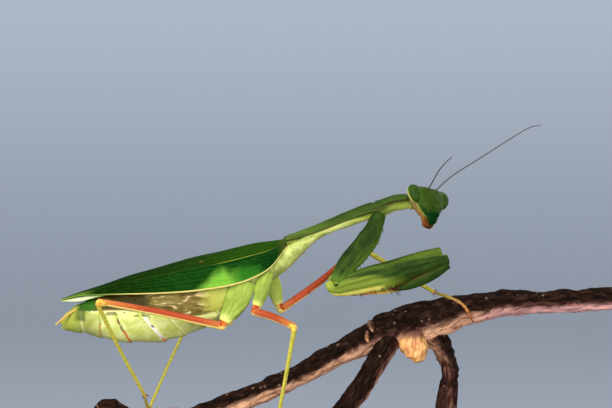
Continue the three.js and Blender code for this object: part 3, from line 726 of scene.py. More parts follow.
press(abdomen, abdomen_relief)
belly = skin("abdomen_skin", subsurface_weight=0.25)
cloud, small = belly.blotches(1.6, 3, 0.5, 0.4), belly.blotches(0.42, 4, 0.6)
folds = belly.blotches(2.1, 3, 0.5, 1.6, belly.stretched(0.5, 0.8, 1.4))
wander = 0.5 * (belly.blotches(0.9, 2, 0.5, 0.8) - 0.5)
seams = [belly.x + lean * (belly.z - LEAN_LEVEL) - at + wander for at, lean in PLATE_SEAMS]
under = belly.coats(
    belly.mix(cloud.over(0.35, 0.65), paint(198, 208, 104), paint(220, 226, 148)),
    (small.over(0.6, 0.75) * 0.5, paint(240, 240, 196)),
    ((belly.x + cloud * 3).over(-30, -37) * 0.8, paint(138, 142, 66)),
)
for seam in seams:
    under = belly.coats(
        under,
        (seam.near(-0.18, 0.1, 0.2) * 0.55, paint(150, 168, 62)),
        (seam.near(0.28, 0.1, 0.3) * 0.35, paint(246, 246, 180)),
    )
# The marks along three of the seams, from rear to front: orange, purple and white. Each has its seam,
# where it lies across it, half its width, how softly it ends, its top, its bottom and its colour.
MARKS = (
    (1, -0.15, 0.06, 0.2, 32.6, 30.4, (196, 150, 84)),
    (2, -0.3, 0.08, 0.26, 33.6, 31.0, (124, 80, 70)),
    (2, -0.2, 0.1, 0.25, 31.2, 28.6, (222, 112, 60)),
    (3, -0.35, 0.2, 0.22, 33.9, 31.9, (244, 242, 236)),
    (3, -0.15, 0.16, 0.2, 32.4, 31.8, (112, 70, 84)),
    (3, -0.2, 0.22, 0.22, 31.9, 29.9, (248, 246, 240)),
    (3, -0.2, 0.12, 0.2, 30.0, 28.9, (238, 128, 64)),
)
ragged = belly.z + 0.8 * (small - 0.5)
for number, middle, half, soft, top, bottom, colour in MARKS:
    here = seams[number].near(middle, half, soft) * ragged.near((top + bottom) / 2, (top - bottom) / 2, 0.35)
    under = belly.mix(here * small.over(0.3, 0.42) * 0.9, under, paint(*colour))
tip_green = belly.mix(cloud, paint(26, 66, 16), paint(62, 110, 30))
back = belly.coats(
    belly.mix(folds.over(0.35, 0.65), paint(82, 70, 28), paint(132, 116, 58)),
    # Pale folds in the back's skin, partly its own pale skin and partly painted highlights.
    (folds.over(0.56, 0.66) * belly.x.over(-28, -25.5) * 0.8, paint(216, 192, 158)),
    (small.over(0.58, 0.7) * 0.4, paint(60, 48, 22)),
    # Painted shade: a dark band along the top, just under the fore wing's edge.
    (belly.x.over(-24.5, -27) * (belly.z + folds).over(35.4, 36.6) * 0.85, paint(44, 36, 12)),
    ((belly.x - cloud * 2).over(-35.2, -38), tip_green),
    ((belly.x + folds * 3).over(-15.6, -12.4), paint(176, 178, 84)),
)
# The back's colours end a little above the side seam, at a height that changes along the body.
back_foot = 34.9 + 0.2 * belly.x.over(-37, -31) - 0.8 * belly.x.over(-31, -24)
back_foot = back_foot - 0.15 * belly.x.over(-24, -18) + belly.x.over(-17, -12)
above = belly.z - back_foot
streaks = belly.blotches(1.1, 3, 0.5, 0.9, belly.stretched(0.7, 1.0, 1.3))
# Painted shade: a dark streaked band just below where the back's colours end, over the middle of the side.
painted_seam_shade = belly.x.near(-29, 4.2, 1.5) * above.near(-0.35, 0.15, 0.4)
painted_seam_shade = painted_seam_shade * (streaks + belly.x.near(-32.4, 0.5, 0.8) * 0.1).over(0.5, 0.6)
shadow = belly.x.near(-38.7, 0.7, 0.8) * (belly.z + cloud).near(34.9, 0.9, 0.6)
line = above.near(0.05, 0.05, 0.16) * belly.x.over(-27, -31) * belly.x.over(-38, -36.8)
tone = belly.coats(
    under,
    ((above + 0.5 * (folds - 0.5)).over(0.0, 0.35), back),
    (painted_seam_shade * 0.75, paint(84, 72, 56)),
    (shadow * 0.8, paint(60, 82, 28)),
    (line * streaks.over(0.3, 0.5) * 0.8, paint(226, 210, 160)),
    ((belly.x - cloud).over(-39.2, -40.4) * 0.8, paint(150, 160, 58)),
)
abdomen_skin = belly.done(tone, 0.4 + 0.2 * small, small * 0.8 + folds * 0.5, 0.07)
fix(abdomen, abdomen_skin, "belly_cream", "abdomen")

# Two small pointed lobes close the tip below the feelers of the tail.
SIDES = ((-1, "right"), (1, "left"))
for side, name in SIDES:
    lobe = draw_out(
        "tail_lobe_" + name,
        [
            (-40.2, side * 0.55, 32.5, 0.45, 0.6), (-41.2, side * 0.5, 32.0, 0.4, 0.45),
            (-42.1, side * 0.35, 31.8, 0.2, 0.2),
        ],
        9, 10,
    )  # fmt: skip
    fix(lobe, abdomen_skin, "belly_cream")

# The two ringed feelers of the tail stand over the lobes.
tail = skin("tail_feeler_skin")
rings = (tail.own("run") * 14).wave()
tone = tail.mix(rings * 0.5, paint(206, 176, 104), paint(176, 104, 48))
tail_skin = tail.done(tone, 0.5, rings + tail.blotches(0.2), 0.05)
for side, name in SIDES:
    feeler = draw_out(
        "cercus_" + name,
        [
            (-38.6, side * 1.4, 35.6, 0.2, 0.22), (-39.9, side * 1.8, 35.0, 0.26, 0.24),
            (-41.4, side * 2.3, 33.9, 0.24, 0.22), (-42.6, side * 2.55, 32.9, 0.2, 0.18),
            (-43.1, side * 2.65, 32.45, 0.12, 0.12),
        ],
        24, 10, 1,
    )  # fmt: skip
    press(feeler, lambda here, along, *_: 0.035 * math.sin(along * 75))
    fix(feeler, tail_skin, "feeler_brown", "cercus_" + name)


# ---- The hind wings ----------------------------------------------------------------------------
# Thin pale fans, pleated lengthwise and folded under the fore wings; only their tips show.
# Each is a grid laid over the back in folds and given a little thickness.

# The ridge over the back and the outer edge, each x and z, and how far out the edge lies.
HIND_STATIONS = [
    (-6, 46.9, -6.2, 42.9, 3.2), (-13.2, 45.3, -14.1, 40.4, 4.2), (-24.8, 42.3, -25.5, 39.0, 4.3),
    (-33, 39.8, -33.4, 38.0, 3.1), (-38.4, 38.0, -38.6, 36.85, 2.0), (-42.2, 37.0, -42.25, 36.75, 0.9),
]  # fmt: skip


def spread(name, columns, rows, place, thick):
    """A sheet: a grid whose points are laid at place(u, v), each from 0 to 1, facing up, and thickened
    inwards. Each point keeps its u and v."""
    piece = start(name)
    bpy.ops.mesh.primitive_grid_add(x_subdivisions=columns, y_subdivisions=rows, size=1, location=(0, 0, 0))
    bpy.ops.object.mode_set(mode="OBJECT")
    mesh = piece.data
    shares = [(v.co.x + 0.5, v.co.y + 0.5) for v in mesh.vertices]
    for k, share in enumerate(("u", "v")):
        mesh.attributes.new(share, "FLOAT", "POINT").data.foreach_set("value", [s[k] for s in shares])
    for vertex, share in zip(mesh.vertices, shares):
        vertex.co = Vector(place(*share)) * MM
    mesh.update()
    if mesh.polygons[len(mesh.polygons) // 2].normal.z < 0:
        mesh.flip_normals()
    apply(piece, "SOLIDIFY", thickness=thick * MM, offset=-1)
    bpy.ops.object.shade_smooth()
    return piece


def arch(stations, side, u, v, lift):
    """A place over the back: u from the root to the tip, v from the ridge, 0, to the outer edge, 1."""
    ridge_x, ridge_z, edge_x, edge_z, out = stations[round(u * (len(stations) - 1))]
    turn, drop = v * math.pi / 2, ridge_z - edge_z
    facing = Vector((0, side * math.sin(turn) * drop, math.cos(turn) * out)).normalized()
    x = ridge_x + (edge_x - ridge_x) * max(v, 0)
    return Vector((x, side * out * math.sin(turn), edge_z + drop * math.cos(turn))) + facing * lift


def pleated(u, v):
    """The fan's folds, flat at its root and its tip, with a gap left along the ridge."""
    fold = 0.09 * math.sin(v * 30) * math.sin(math.pi * min(1, u * 1.4 + 0.1))
    return arch(line, side, u, 0.03 + 0.97 * v, fold)


film = skin("hind_wing_film", subsurface_weight=0.3, subsurface_scale=0.0003)
across, fine = film.own("v"), film.blotches(0.3, 4)
pleats = (across * 60).wave()
tone = film.coats(
    film.mix(pleats, paint(236, 240, 214), paint(206, 222, 160)),
    (across.over(0.9, 0.97), paint(176, 206, 92)),
    (film.x.over(-40.6, -42) * 0.8, paint(206, 220, 110)),
)
film_finish = film.done(tone, 0.35, pleats + fine * 0.4, 0.06)
line = through(HIND_STATIONS, 201)
for side, name in SIDES:
    wing = spread("hind_wing_" + name, 60, 40, pleated, 0.14)
    fix(wing, film_finish, "hindwing_cream", "hindwing_" + name)


# ---- The fore wings ----------------------------------------------------------------------------
# Leathery leaf-green covers, the right one lapped over the left, with a cream front edge, a long
# middle vein and a net of fine ones. Each is a grid laid over the back and given its thickness.
WING_STATIONS = [
    (-0.7, 48.3, -0.6, 46.9, 1.5), (-3.7, 47.9, -3.7, 42.9, 3.3), (-6.6, 47.5, -7.4, 40.8, 4.2),
    (-10, 46.7, -10.7, 39.8, 4.8), (-13.2, 45.9, -14.1, 39.2, 5.1), (-18.2, 44.8, -19.1, 38.6, 5.3),
    (-24.8, 42.9, -25.5, 38.3, 5.2), (-29.8, 41.5, -30.5, 38.2, 4.5), (-34.7, 39.8, -35.3, 38.1, 3.3),
    (-38.8, 38.5, -39, 37.9, 1.9), (-42.1, 37.25, -42.1, 37.1, 0.8),
]  # fmt: skip
# How far each wing reaches past the ridge and where its middle vein runs, as shares of its width.
WING_LAP, VEIN_AT = 0.16, 0.535
# How far the left wing is tucked under the right one along the ridge.
TUCK = 0.34

leaf = skin("fore_wing_leaf", specular_ior_level=0.01, subsurface_weight=0.1)
share = leaf.own("v") * (1 + WING_LAP) - WING_LAP
cloud, small = leaf.blotches(2.6, 3, 0.55, 0.4), leaf.blotches(0.5, 4, 0.6)
net = leaf.cells(0.85, "DISTANCE_TO_EDGE", leaf.stretched(0.32, 1.0, 1.0)).over(0.1, 0.02)
veins = (share * 74 + leaf.x * 0.05).wave().over(0.86, 0.99)
vein = share.near(VEIN_AT, 0.004, 0.012)
upper = leaf.mix((leaf.x + 4 * cloud).over(-24, -4), paint(12, 34, 4), paint(28, 58, 8))
lower = leaf.mix((leaf.x + 4 * cloud).over(-30, -14), paint(7, 32, 2), paint(8, 50, 9))
lower = leaf.mix((leaf.x + 2 * cloud).over(-7, -3.5), lower, paint(4, 44, 10))
# Painted light in the lower half, behind the root, as if light shone through the wing: the share of the width
# where it begins.
BACKLIGHT_STARTS = (
    (0.0, 1.1), (0.15, 0.92), (0.3, 0.72), (0.42, 0.68), (0.5, 0.77), (0.76, 0.72), (0.88, 0.84), (1.0, 1.1),
)  # fmt: skip
backlight_top = leaf.ramp((leaf.x + 18) / 14, *((at, (begins, begins, begins, 1)) for at, begins in BACKLIGHT_STARTS))
painted_backlight = (share + 0.22 * (leaf.blotches(2.2, 2, 0.5, 0.6) - 0.5) - backlight_top).over(-0.13, 0.16)
# The colour of the painted light through the wing.
bright = leaf.mix((leaf.x + 2 * cloud).over(-7.5, -10.5), paint(40, 104, 26), paint(114, 172, 56))
front_edge = leaf.mix(leaf.x.over(-36, -28), paint(112, 140, 56), paint(206, 192, 112))
tone = leaf.coats(
    leaf.mix((share + 0.05 * (cloud - 0.5)).over(0.46, 0.56), upper, lower),
    (leaf.x.over(-2.8, -0.9) * 0.6, paint(70, 78, 28)),
    (painted_backlight * 0.9, bright),
    (veins * 0.14, paint(70, 120, 36)),
    (net * 0.05, paint(84, 130, 44)),
    (vein * (leaf.x.over(-15, -11) * 0.8 + 0.08) * leaf.x.over(-2, -4), paint(120, 132, 44)),
    (leaf.x.near(-16.3, 0.2, 0.3) * share.near(0.39, 0.01, 0.025) * 0.5, paint(104, 92, 34)),
    ((leaf.x - 2 * cloud).over(-36.5, -39.5) * share.over(0.35, 0.8), paint(86, 116, 40)),
    (share.over(0.966, 0.978), front_edge),
)
leaf_height = veins * 0.6 + net * 0.25 + small * 0.3 + vein * 1.2
leaf_finish = leaf.done(tone, 0.5 + 0.16 * small, leaf_height, 0.06)


def wing_lift(u, v):
    """The long middle vein and the thickened front edge stand proud."""
    rib = 0.1 * bump(v - VEIN_AT, 0.05) * bump(u - 0.3, 0.5)
    return rib + 0.12 * max(0, (v - 0.95) / 0.05) + 0.05 * math.sin(v * 40) * bump(u - 0.5, 0.5)


def lapped(u, v):
    """A wing that starts past the ridge, the left one tucked under the right."""
    v = (1 + WING_LAP) * v - WING_LAP
    under = 0.0 if side < 0 else TUCK * (1 - min(1, max(0, (v + 0.02) / 0.22)))
    return arch(line, side, u, v, wing_lift(u, v) - under)


line = through(WING_STATIONS, 201)
for side, name in SIDES:
    wing = spread("fore_wing_" + name, 110, 44, lapped, 0.24)
    fix(wing, leaf_finish, "wing_green", "tegmen_" + name)


# ---- The front thorax --------------------------------------------------------------------------
# A long neck-like trunk: a pale soft body below, under a stiff saddle-shaped shield with a keel,
# a cross groove over the fore legs, and a narrow toothed flange down each side.

# From rear to front: x and z of the flanges, half the width, and how high the shield arches.
SHIELD = [
    (-0.9, 48.15, 1.5, 0.35), (-0.2, 48.35, 1.85, 0.62), (2.3, 48.95, 1.85, 0.95), (5.5, 50.0, 1.62, 1.12),
    (9.8, 51.7, 1.62, 1.28), (13.3, 53.0, 1.98, 1.42), (16.6, 53.95, 2.5, 1.5), (19.1, 54.9, 2.0, 1.38),
    (21.2, 55.2, 1.6, 1.3), (21.9, 55.3, 1.35, 1.0),
]  # fmt: skip
stations = [(x, 0, z - 0.2, 0.84 * wide, 0.97 * max(tall, 0.8)) for x, z, wide, tall in SHIELD]
front_body = draw_out("front_thorax", stations, 40, 16)


def body_relief(here, along, rise, flank):
    """Soft folds, and the swellings that the fore legs are set in."""
    socket = bump(here.x - 16.2, 2.2) * max(0, -rise) * abs(flank) * 0.5
    folds = noise.noise(Vector((here.x * 0.5, here.y, here.z * 1.4))) * 0.12
    return folds + socket - 0.16 * bump(here.x - 4.2, 0.5)


press(front_body, body_relief)
soft = skin("front_thorax_skin", subsurface_weight=0.3)
cloud, small = soft.blotches(1.4, 3, 0.5, 0.5, soft.stretched(0.4, 1, 1)), soft.blotches(0.4, 4, 0.6)
rise = soft.own("rise")
tone = soft.coats(
    soft.mix(cloud.over(0.35, 0.65), paint(160, 172, 64), paint(200, 206, 104)),
    # Painted shade over the upper half of the soft body, under the shield.
    ((rise - soft.x.over(16.5, 18.5) * 0.35).over(-0.42, -0.12), paint(56, 78, 22)),
    (soft.x.over(1.5, 3.5) * soft.x.over(13.5, 9) * 0.85 * rise.over(0, -0.25), paint(214, 220, 132)),
    # Painted shade on the underside between the roots of the fore coxae.
    (soft.x.over(15.5, 17.5) * rise.over(-0.85, -0.45) * 0.95, paint(78, 100, 33)),
    (soft.x.over(18.5, 20.5) * rise.over(-0.45, -0.8) * 0.7, paint(206, 204, 92)),
    ((soft.x + cloud).over(17.6, 19.4) * 0.6, paint(160, 174, 74)),
)
soft_skin = soft.done(tone, 0.42 + 0.2 * small, small + cloud * 0.6, 0.06)
fix(front_body, soft_skin, "pale_green", "prothorax")

line = through(SHIELD, 161)


def shield_place(u, v):
    """Over the back from one side to the other: v 0 and 1 are the flanges."""
    x, z, wide, tall = line[round(u * 160)]
    t = 2 * v - 1
    flange = max(0, (abs(t) - 0.93) / 0.07)
    arch_up = tall * (1 - abs(t) ** 2.5) ** (1 / 2.1)
    keel = 0.12 * bump(t, 0.1) + 0.05 * bump(abs(t) - 0.5, 0.2)
    groove = 0.2 * bump(x - 15.4 - 0.8 * t * t, 0.55) + 0.1 * bump(x - 0.9, 0.4)
    tooth = 0.12 * max(0, math.sin(x * 7.5)) * min(1, max(0, (x - 9) / 3)) * flange
    wave = 0.05 * noise.noise(Vector((x * 0.8, t * 2, 1)))
    return (x, t * (wide + 0.16 * flange + tooth), z + arch_up + keel - groove + wave - 0.06 * flange)


shield = spread("back_shield", 150, 44, shield_place, 0.2)
horn = skin("back_shield_green")
across = abs(horn.own("v") * 2 - 1)
cloud, small = horn.blotches(2.0, 3, 0.5, 0.4, horn.stretched(0.35, 1, 1)), horn.blotches(0.35, 4, 0.6)
margin = across.near(0.972, 0.008, 0.014) * (horn.x.over(14, 16.5) + horn.x.over(4, 2) * 0.7)
tone = horn.coats(
    horn.mix(cloud.over(0.35, 0.65), paint(32, 52, 9), paint(48, 70, 18)),
    ((horn.x + 2 * cloud).over(10, 3) * 0.7, paint(84, 108, 36)),
    (across.over(0.62, 0.9) * 0.25, paint(70, 96, 30)),
    ((1 - across).over(0.9, 0.99) * 0.3, paint(86, 112, 42)),
    (small.over(0.6, 0.72) * 0.25, paint(98, 126, 52)),
    (margin * (0.6 + 0.4 * cloud.over(0.4, 0.55)), paint(48, 28, 12)),
    (across.over(0.985, 0.995) * 0.5, paint(120, 132, 56)),
)
fix(shield, horn.done(tone, 0.4 + 0.2 * small, small + cloud * 0.3, 0.06), "leaf_green")


# ---- The neck ----------------------------------------------------------------------------------
# Soft pale skin in rings between the shield and the head.
# It is drawn out of rings, pressed in folds, and tucked in at both ends.
neck = draw_out(
    "neck",
    [
        (20.6, 0, 55.0, 1.25, 1.15), (22.0, 0.2, 55.1, 1.1, 1.3), (23.4, 0.7, 54.9, 1.0, 1.35),
        (24.6, 1.1, 54.6, 0.9, 1.2),
    ],
    22, 14,
)  # fmt: skip
press(neck, lambda here, *_: 0.09 * math.sin(here.x * 7.5 + here.z) + 0.08 * noise.noise(here * 1.5))
fix(neck, soft_skin, "pale_green", "neck")


# ---- The grasping legs -------------------------------------------------------------------------
# Each has a long blade of a first joint with a toothed front edge, a broad spined thigh, a spined
# shin with a hooked claw that shuts against it, and a thin foot laid back under the thigh.
def sized(places, sizes):
    """Stations of a limb: places along it with half its width and half its height at each."""
    return [(*place, *size) for place, size in zip(places, sizes)]


def limb_at(stations, up, along, across, high):
    """A place on a drawn limb: how far along, and how far out to the side and up as shares of its half
    sizes."""
    line = through(stations, 101)
    k = round(along * 100)
    *here, wide, tall = line[k]
    ahead = (Vector(line[min(k + 1, 100)][:3]) - Vector(line[max(k - 1, 0)][:3])).normalized()
    side = ahead.cross(Vector(up)).normalized()
    return Vector(here) + side * wide * across + side.cross(ahead) * tall * high


# The one thorn that every tooth, spine and claw is copied from, a millimetre long.
THORN_HALF = 0.24
thorn = draw_out(
    "thorn",
    [
        (0, 0, 0, THORN_HALF, THORN_HALF), (0, 0.02, 0.35, 0.17, 0.17), (0.0, 0.0, 0.75, 0.09, 0.09),
        (0, -0.06, 1.0, 0.02, 0.02),
    ],
    6, 6, 1, up=(1, 0, 0), round_ends=False,
)  # fmt: skip


def thorns(name, rows, material):
    """Copies of the one thorn joined in one piece: each row is a root, the way to its tip and half its
    thickness."""
    bpy.ops.object.select_all(action="DESELECT")
    for root, way, half in rows:
        copy = thorn.copy()
        copy.data = thorn.data.copy()
        bpy.context.collection.objects.link(copy)
        turn = way.to_track_quat("Z", "Y").to_matrix().to_4x4()
        size = Matrix.Diagonal((half / THORN_HALF, half / THORN_HALF, way.length, 1))
        copy.data.transform(Matrix.Translation(mm(*root)) @ turn @ size)
        copy.select_set(True)
        bpy.context.view_layer.objects.active = copy
    bpy.ops.object.join()
    joined = bpy.context.object
    joined.name = name
    fix(joined, material, "feeler_brown")


# The five joints of a foot, each its start and its end along the foot and its size; and how each
# joint flares from its root to its end.
FOOT_JOINTS = ((0, 0.4, 1), (0.4, 0.6, 0.95), (0.6, 0.75, 0.9), (0.75, 0.85, 0.95), (0.85, 1, 0.8))
FLARE = ((0.06, 0.68), (0.35, 0.82), (0.8, 1.0), (0.97, 1.12))


def foot(name, path, half, material, node):
    """A foot of five joints, each flared at its end, with two claws."""
    line = through(path, 101)
    stations = []
    for begins, ends, size in FOOT_JOINTS:
        for share, flare in FLARE:
            k = round(100 * (begins + (ends - begins) * share))
            stations.append((*line[k], half * size * flare, half * size * flare))
    piece = draw_out(name, stations, None, 10, 1, up=(0.1, 0.3, 1))
    fix(piece, material, "foot_tan", node)
    end = Vector(line[100])
    ahead = (end - Vector(line[90])).normalized()
    side = ahead.cross(Vector((0, 0, 1))).normalized()
    claws = []
    for s in (-1, 1):
        root = end - ahead * 0.1 + side * s * half * 0.3
        tip = end + ahead * 0.75 + side * s * 0.42 - Vector((0, 0, 0.22))
        claws.append((root, tip - root, half * 0.4))
    thorns(name + "_claws", claws, dark_horn)


dark = Finish("dark_horn", coat_weight=0.05, coat_roughness=0.2, specular_ior_level=0.1)
shade = dark.blotches(0.5, 3)
dark_horn = dark.done(dark.mix(shade, paint(34, 18, 8), paint(84, 48, 22)), 0.35, shade, 0.02)


def leg_green(name, detail):
    """Streaked green for one joint of the grasping legs; detail gives the coats laid over it."""
    green = skin(name)
    streak = green.blotches(0.42, 5, 0.6, 0.3, green.round_limb(0.12, 1.7))
    cloud, small = green.blotches(2.2), green.blotches(0.3, 4, 0.6)
    tone = green.coats(
        green.mix(streak.over(0.35, 0.65), paint(22, 41, 5), paint(38, 61, 11)),
        (cloud.over(0.45, 0.62) * 0.4, paint(56, 80, 18)),
        *detail(green, streak, small, green.own("rise"), green.own("along")),
    )
    return green.done(tone, 0.4 + 0.2 * small, small + streak * 1.2, 0.07)


def coxa_coats(green, streak, small, rise, along):
    """A lighter lower edge and end, partly the coxa's own paler colour and partly painted light from below.
    """
    # Painted light from below, with the coxa's own paler colour, lightens the lower edge and the end.
    light = ((0.5 * streak - rise).over(0.35, 0.9) + (along + 0.1 * streak).over(0.8, 0.97)).least(1)
    return [(light * 0.8, green.mix(small, paint(68, 98, 30), paint(98, 130, 44)))]


def thigh_coats(green, streak, small, rise, along):
    """Lighter below the root and on the inner face, with a yellow rim and rust spots under it, the rim partly
    its own colour and partly painted light from below.
    """
    lower = (1.35 - 1.25 * along + 0.4 * (streak - 0.5) - rise).over(0, 0.3)
    lower = lower * (along + 0.1 * rise).over(0.6, 0.46)
    inner = (green.own("flank") * (green.y.over(-1, 1) * 2 - 1)).over(0.1, 0.5) * green.y.over(0, 1)
    # The yellow rim along the lowest edge: partly the thigh's own colour, partly painted light from below.
    rim = (-0.72 - rise + 0.2 * (small - 0.5)).over(0, 0.14) * along.over(0.55, 0.46)
    rust = (-0.9 - rise).over(0, 0.05) * green.blotches(0.9).over(0.5, 0.6) * along.over(0.5, 0.4)
    return [
        (lower * 0.85, green.mix(streak, paint(100, 120, 38), paint(122, 138, 48))),
        (inner * (0.5 + 0.5 * streak), paint(92, 112, 34)),
        ((along - 0.1 * streak).over(0.14, 0.03) * 0.8, paint(150, 164, 62)),
        (rim, green.mix(small, paint(186, 182, 78), paint(214, 208, 110))),
        (rust * 0.8, paint(206, 112, 44)),
        (rise.over(0.86, 0.97) * 0.4, paint(96, 124, 40)),
    ]


def shin_coats(green, streak, small, rise, along):
    """Brown patches on top and a darker underside."""
    return [
        (rise.over(0.3, 0.9) * green.blotches(0.8).over(0.42, 0.56) * 0.85, paint(92, 60, 26)),
        (rise.over(0, -0.5) * 0.5, paint(26, 48, 8)),
    ]


coxa_green = leg_green("grasping_coxa_green", coxa_coats)
thigh_green = leg_green("grasping_thigh_green", thigh_coats)
shin_green = leg_green("grasping_shin_green", shin_coats)
tooth_green = leg_green("tooth_green", lambda *_: [(0.6, paint(120, 128, 50))])

rusty = skin("grasping_foot_skin")
tone = rusty.ramp(
    rusty.own("along") + 0.2 * rusty.blotches(0.9),
    (0.1, paint(214, 204, 96)),
    (0.4, paint(222, 176, 78)),
    (0.7, paint(204, 118, 52)),
    (1.0, paint(146, 78, 38)),
)
grasping_foot = rusty.done(tone, 0.5, rusty.blotches(0.2), 0.03)

# Half the width and half the height at each place along a joint.
COXA_SIZES = [(0.75, 1.2), (0.9, 1.55), (1.0, 1.85), (1.0, 1.85), (1.0, 1.75), (0.95, 1.6), (0.8, 1.2)]
THIGH_SIZES = [
    (0.6, 0.7), (0.78, 1.2), (0.95, 1.9), (1.1, 2.2), (1.1, 2.2), (1.02, 1.8), (0.85, 1.4), (0.55, 0.95),
]  # fmt: skip
SHIN_SIZES = [(0.5, 0.8), (0.55, 1.08), (0.5, 1.0), (0.34, 0.5)]
# For each leg, the way out from the body, and places along the coxa, the thigh, the shin and the foot.
GRASPING = {
    "right": (
        -1,
        [
            (16.4, -1.6, 52.9), (15.4, -2.1, 50.2), (14.4, -2.5, 48.2), (13, -2.9, 46.2), (11.1, -3.2, 44),
            (9.5, -3.4, 42.1), (8.5, -3.6, 40.5),
        ],
        [
            (7, -3.7, 40.2), (8.3, -3.7, 39.1), (11, -3.7, 39.8), (15, -3.6, 40.8), (18.1, -3.5, 41.4),
            (22.2, -3.3, 42.8), (25.9, -3.1, 43.8), (29, -3, 44.5),
        ],
        [(29.0, -3, 43.6), (25.9, -3, 41.7), (22.6, -3, 40.2), (19.9, -3, 39.2)],
        [(20.6, -2.2, 39), (17.6, -2, 38.5), (14.6, -2, 38.3), (12, -2, 38.1)],
    ),
    "left": (
        1,
        [
            (16.7, 1.6, 53), (15.7, 2.1, 50.5), (14.7, 2.5, 48.7), (13.4, 2.8, 46.9), (11.6, 3.1, 44.9),
            (10.1, 3.2, 43.1), (9.1, 3.3, 41.7),
        ],
        [
            (7.7, 3.4, 41.2), (8.9, 3.4, 39.9), (11.4, 3.2, 39.9), (14.9, 2.9, 40.8), (17.9, 2.7, 41.7),
            (21.7, 2.5, 43.3), (25.2, 2.4, 44.75), (28, 2.3, 45.8),
        ],
        [(28.0, 2.3, 44.9), (24.9, 2.2, 42.6), (21.6, 2.2, 40.5), (18.9, 2.2, 39.2)],
        [(19.6, 1.4, 39.1), (16.6, 1.2, 38.6), (13.7, 1.3, 38.4), (11.1, 1.5, 38.2)],
    ),
}  # fmt: skip
COXA_UP, LEVEL_UP = (1, 0, 0.3), (0, 0, 1)
# The link under the coxa's end and the hooked claw at the shin's end: where each ring lies from there
# and half its thickness.
LINK = (((0.25, 0, 0.8), 0.3), ((0.1, 0, 0), 0.75), ((0.05, 0, -0.6), 0.92), ((0.8, 0, -1.1), 0.8))
HOOK = (
    ((0.5, 0, 0.1), 0.34), ((-0.4, 0, -0.08), 0.28), ((-1.2, 0, -0.05), 0.2), ((-1.9, 0, 0.3), 0.1),
    ((-2.2, 0, 0.65), 0.03),
)  # fmt: skip


def coxa_relief(here, along, rise, flank):
    """Two long ribs on each face of the blade."""
    return 0.16 * bump(abs(rise) - 0.28, 0.16) * math.sin(math.pi * along) + 0.05 * noise.noise(here)


def thigh_relief(here, along, rise, flank):
    """A long furrow and ribs on each face, and a keel along the top."""
    rib = 0.14 * bump(rise - 0.45, 0.2) + 0.12 * bump(rise + 0.5, 0.18) - 0.1 * bump(rise, 0.3)
    keel = 0.22 * bump(1 - rise, 0.12)
    return (rib + keel) * math.sin(math.pi * min(1, along * 1.1)) + 0.05 * noise.noise(here)


def shin_relief(here, along, rise, flank):
    """A low rib along each face."""
    return 0.06 * bump(rise, 0.25) + 0.04 * noise.noise(here)


for name, (side, coxa, thigh, shin, toes) in GRASPING.items():
    coxa, thigh, shin = sized(coxa, COXA_SIZES), sized(thigh, THIGH_SIZES), sized(shin, SHIN_SIZES)
    piece = draw_out("fore_coxa_" + name, coxa, 26, 20, up=COXA_UP)
    fix(press(piece, coxa_relief), coxa_green, "leaf_green", f"fore_{name}_coxa")
    teeth = []
    for k in range(15):
        along = 0.16 + 0.052 * k
        root = limb_at(coxa, COXA_UP, along, 0, 0.93)
        out = (limb_at(coxa, COXA_UP, along, 0, 2) - root).normalized()
        long, half = (0.42, 0.17) if k % 3 else (0.6, 0.22)
        teeth.append((root, out * long + Vector((-0.1, 0, -0.16)), half))
    thorns("fore_coxa_teeth_" + name, teeth, tooth_green)

    piece = draw_out("fore_thigh_" + name, thigh, 34, 22)
    fix(press(piece, thigh_relief), thigh_green, "leaf_green", f"fore_{name}_femur")
    coxa_end, shin_end = Vector(coxa[-1][:3]), Vector(shin[-1][:3])
    rings = [(*(coxa_end + Vector(at)), half, half) for at, half in LINK]
    fix(draw_out("fore_link_" + name, rings, 10, 14, up=(0, 1, 0)), thigh_green, "leaf_green")
    # Three long spines outside, a row of long and short ones inside, a row of small ones at the far
    # end, and three more by the tip of the shut shin.
    spines = []
    for along, long in ((0.5, 0.5), (0.56, 1.1), (0.6, 1.3)):
        way = Vector((0.6 * long, side * 0.12, -0.85 * long))
        spines.append((limb_at(thigh, LEVEL_UP, along, -side * 0.62, -0.82), way, 0.14 + 0.05 * long))
    for k in range(13):
        long, half = (0.85, 0.2) if k % 2 else (0.45, 0.14)
        root = limb_at(thigh, LEVEL_UP, 0.3 + 0.045 * k, side * 0.6, -0.86)
        spines.append((root, Vector((0.22, -side * 0.05, -long)), half))
    for k in range(13):
        root = limb_at(thigh, LEVEL_UP, 0.54 + 0.028 * k, -side * 0.74, -0.72)
        spines.append((root, Vector((0.1, side * 0.12, -0.24)), 0.1))
    for x, z, long in ((-0.85, -0.1, 1.8), (-0.5, 0.0, 1.5), (-1.7, -0.1, 0.9)):
        root = shin_end + Vector((x, side * 0.75, z))
        spines.append((root, Vector((0.62 * long, side * 0.05, -0.76 * long)), 0.13))
    thorns("fore_thigh_spines_" + name, spines, dark_horn)

    piece = draw_out("fore_shin_" + name, shin, 24, 14)
    fix(press(piece, shin_relief), shin_green, "leaf_green", f"fore_{name}_tibia")
    spines = []
    for k in range(12):
        for across in (-0.75, 0.75):
            root = limb_at(shin, LEVEL_UP, 0.14 + 0.066 * k, across, 0.72)
            spines.append((root, Vector((-0.22, 0.12 * -across, 0.34)), 0.13))
    thorns("fore_shin_spines_" + name, spines, dark_horn)
    rings = [(*(shin_end + Vector(at)), half, half) for at, half in HOOK]
    fix(draw_out("fore_claw_" + name, rings, 16, 10, round_ends=False), dark_horn, "feeler_brown")
    foot("fore_foot_" + name, toes, 0.3, grasping_foot, f"fore_{name}_tarsus")
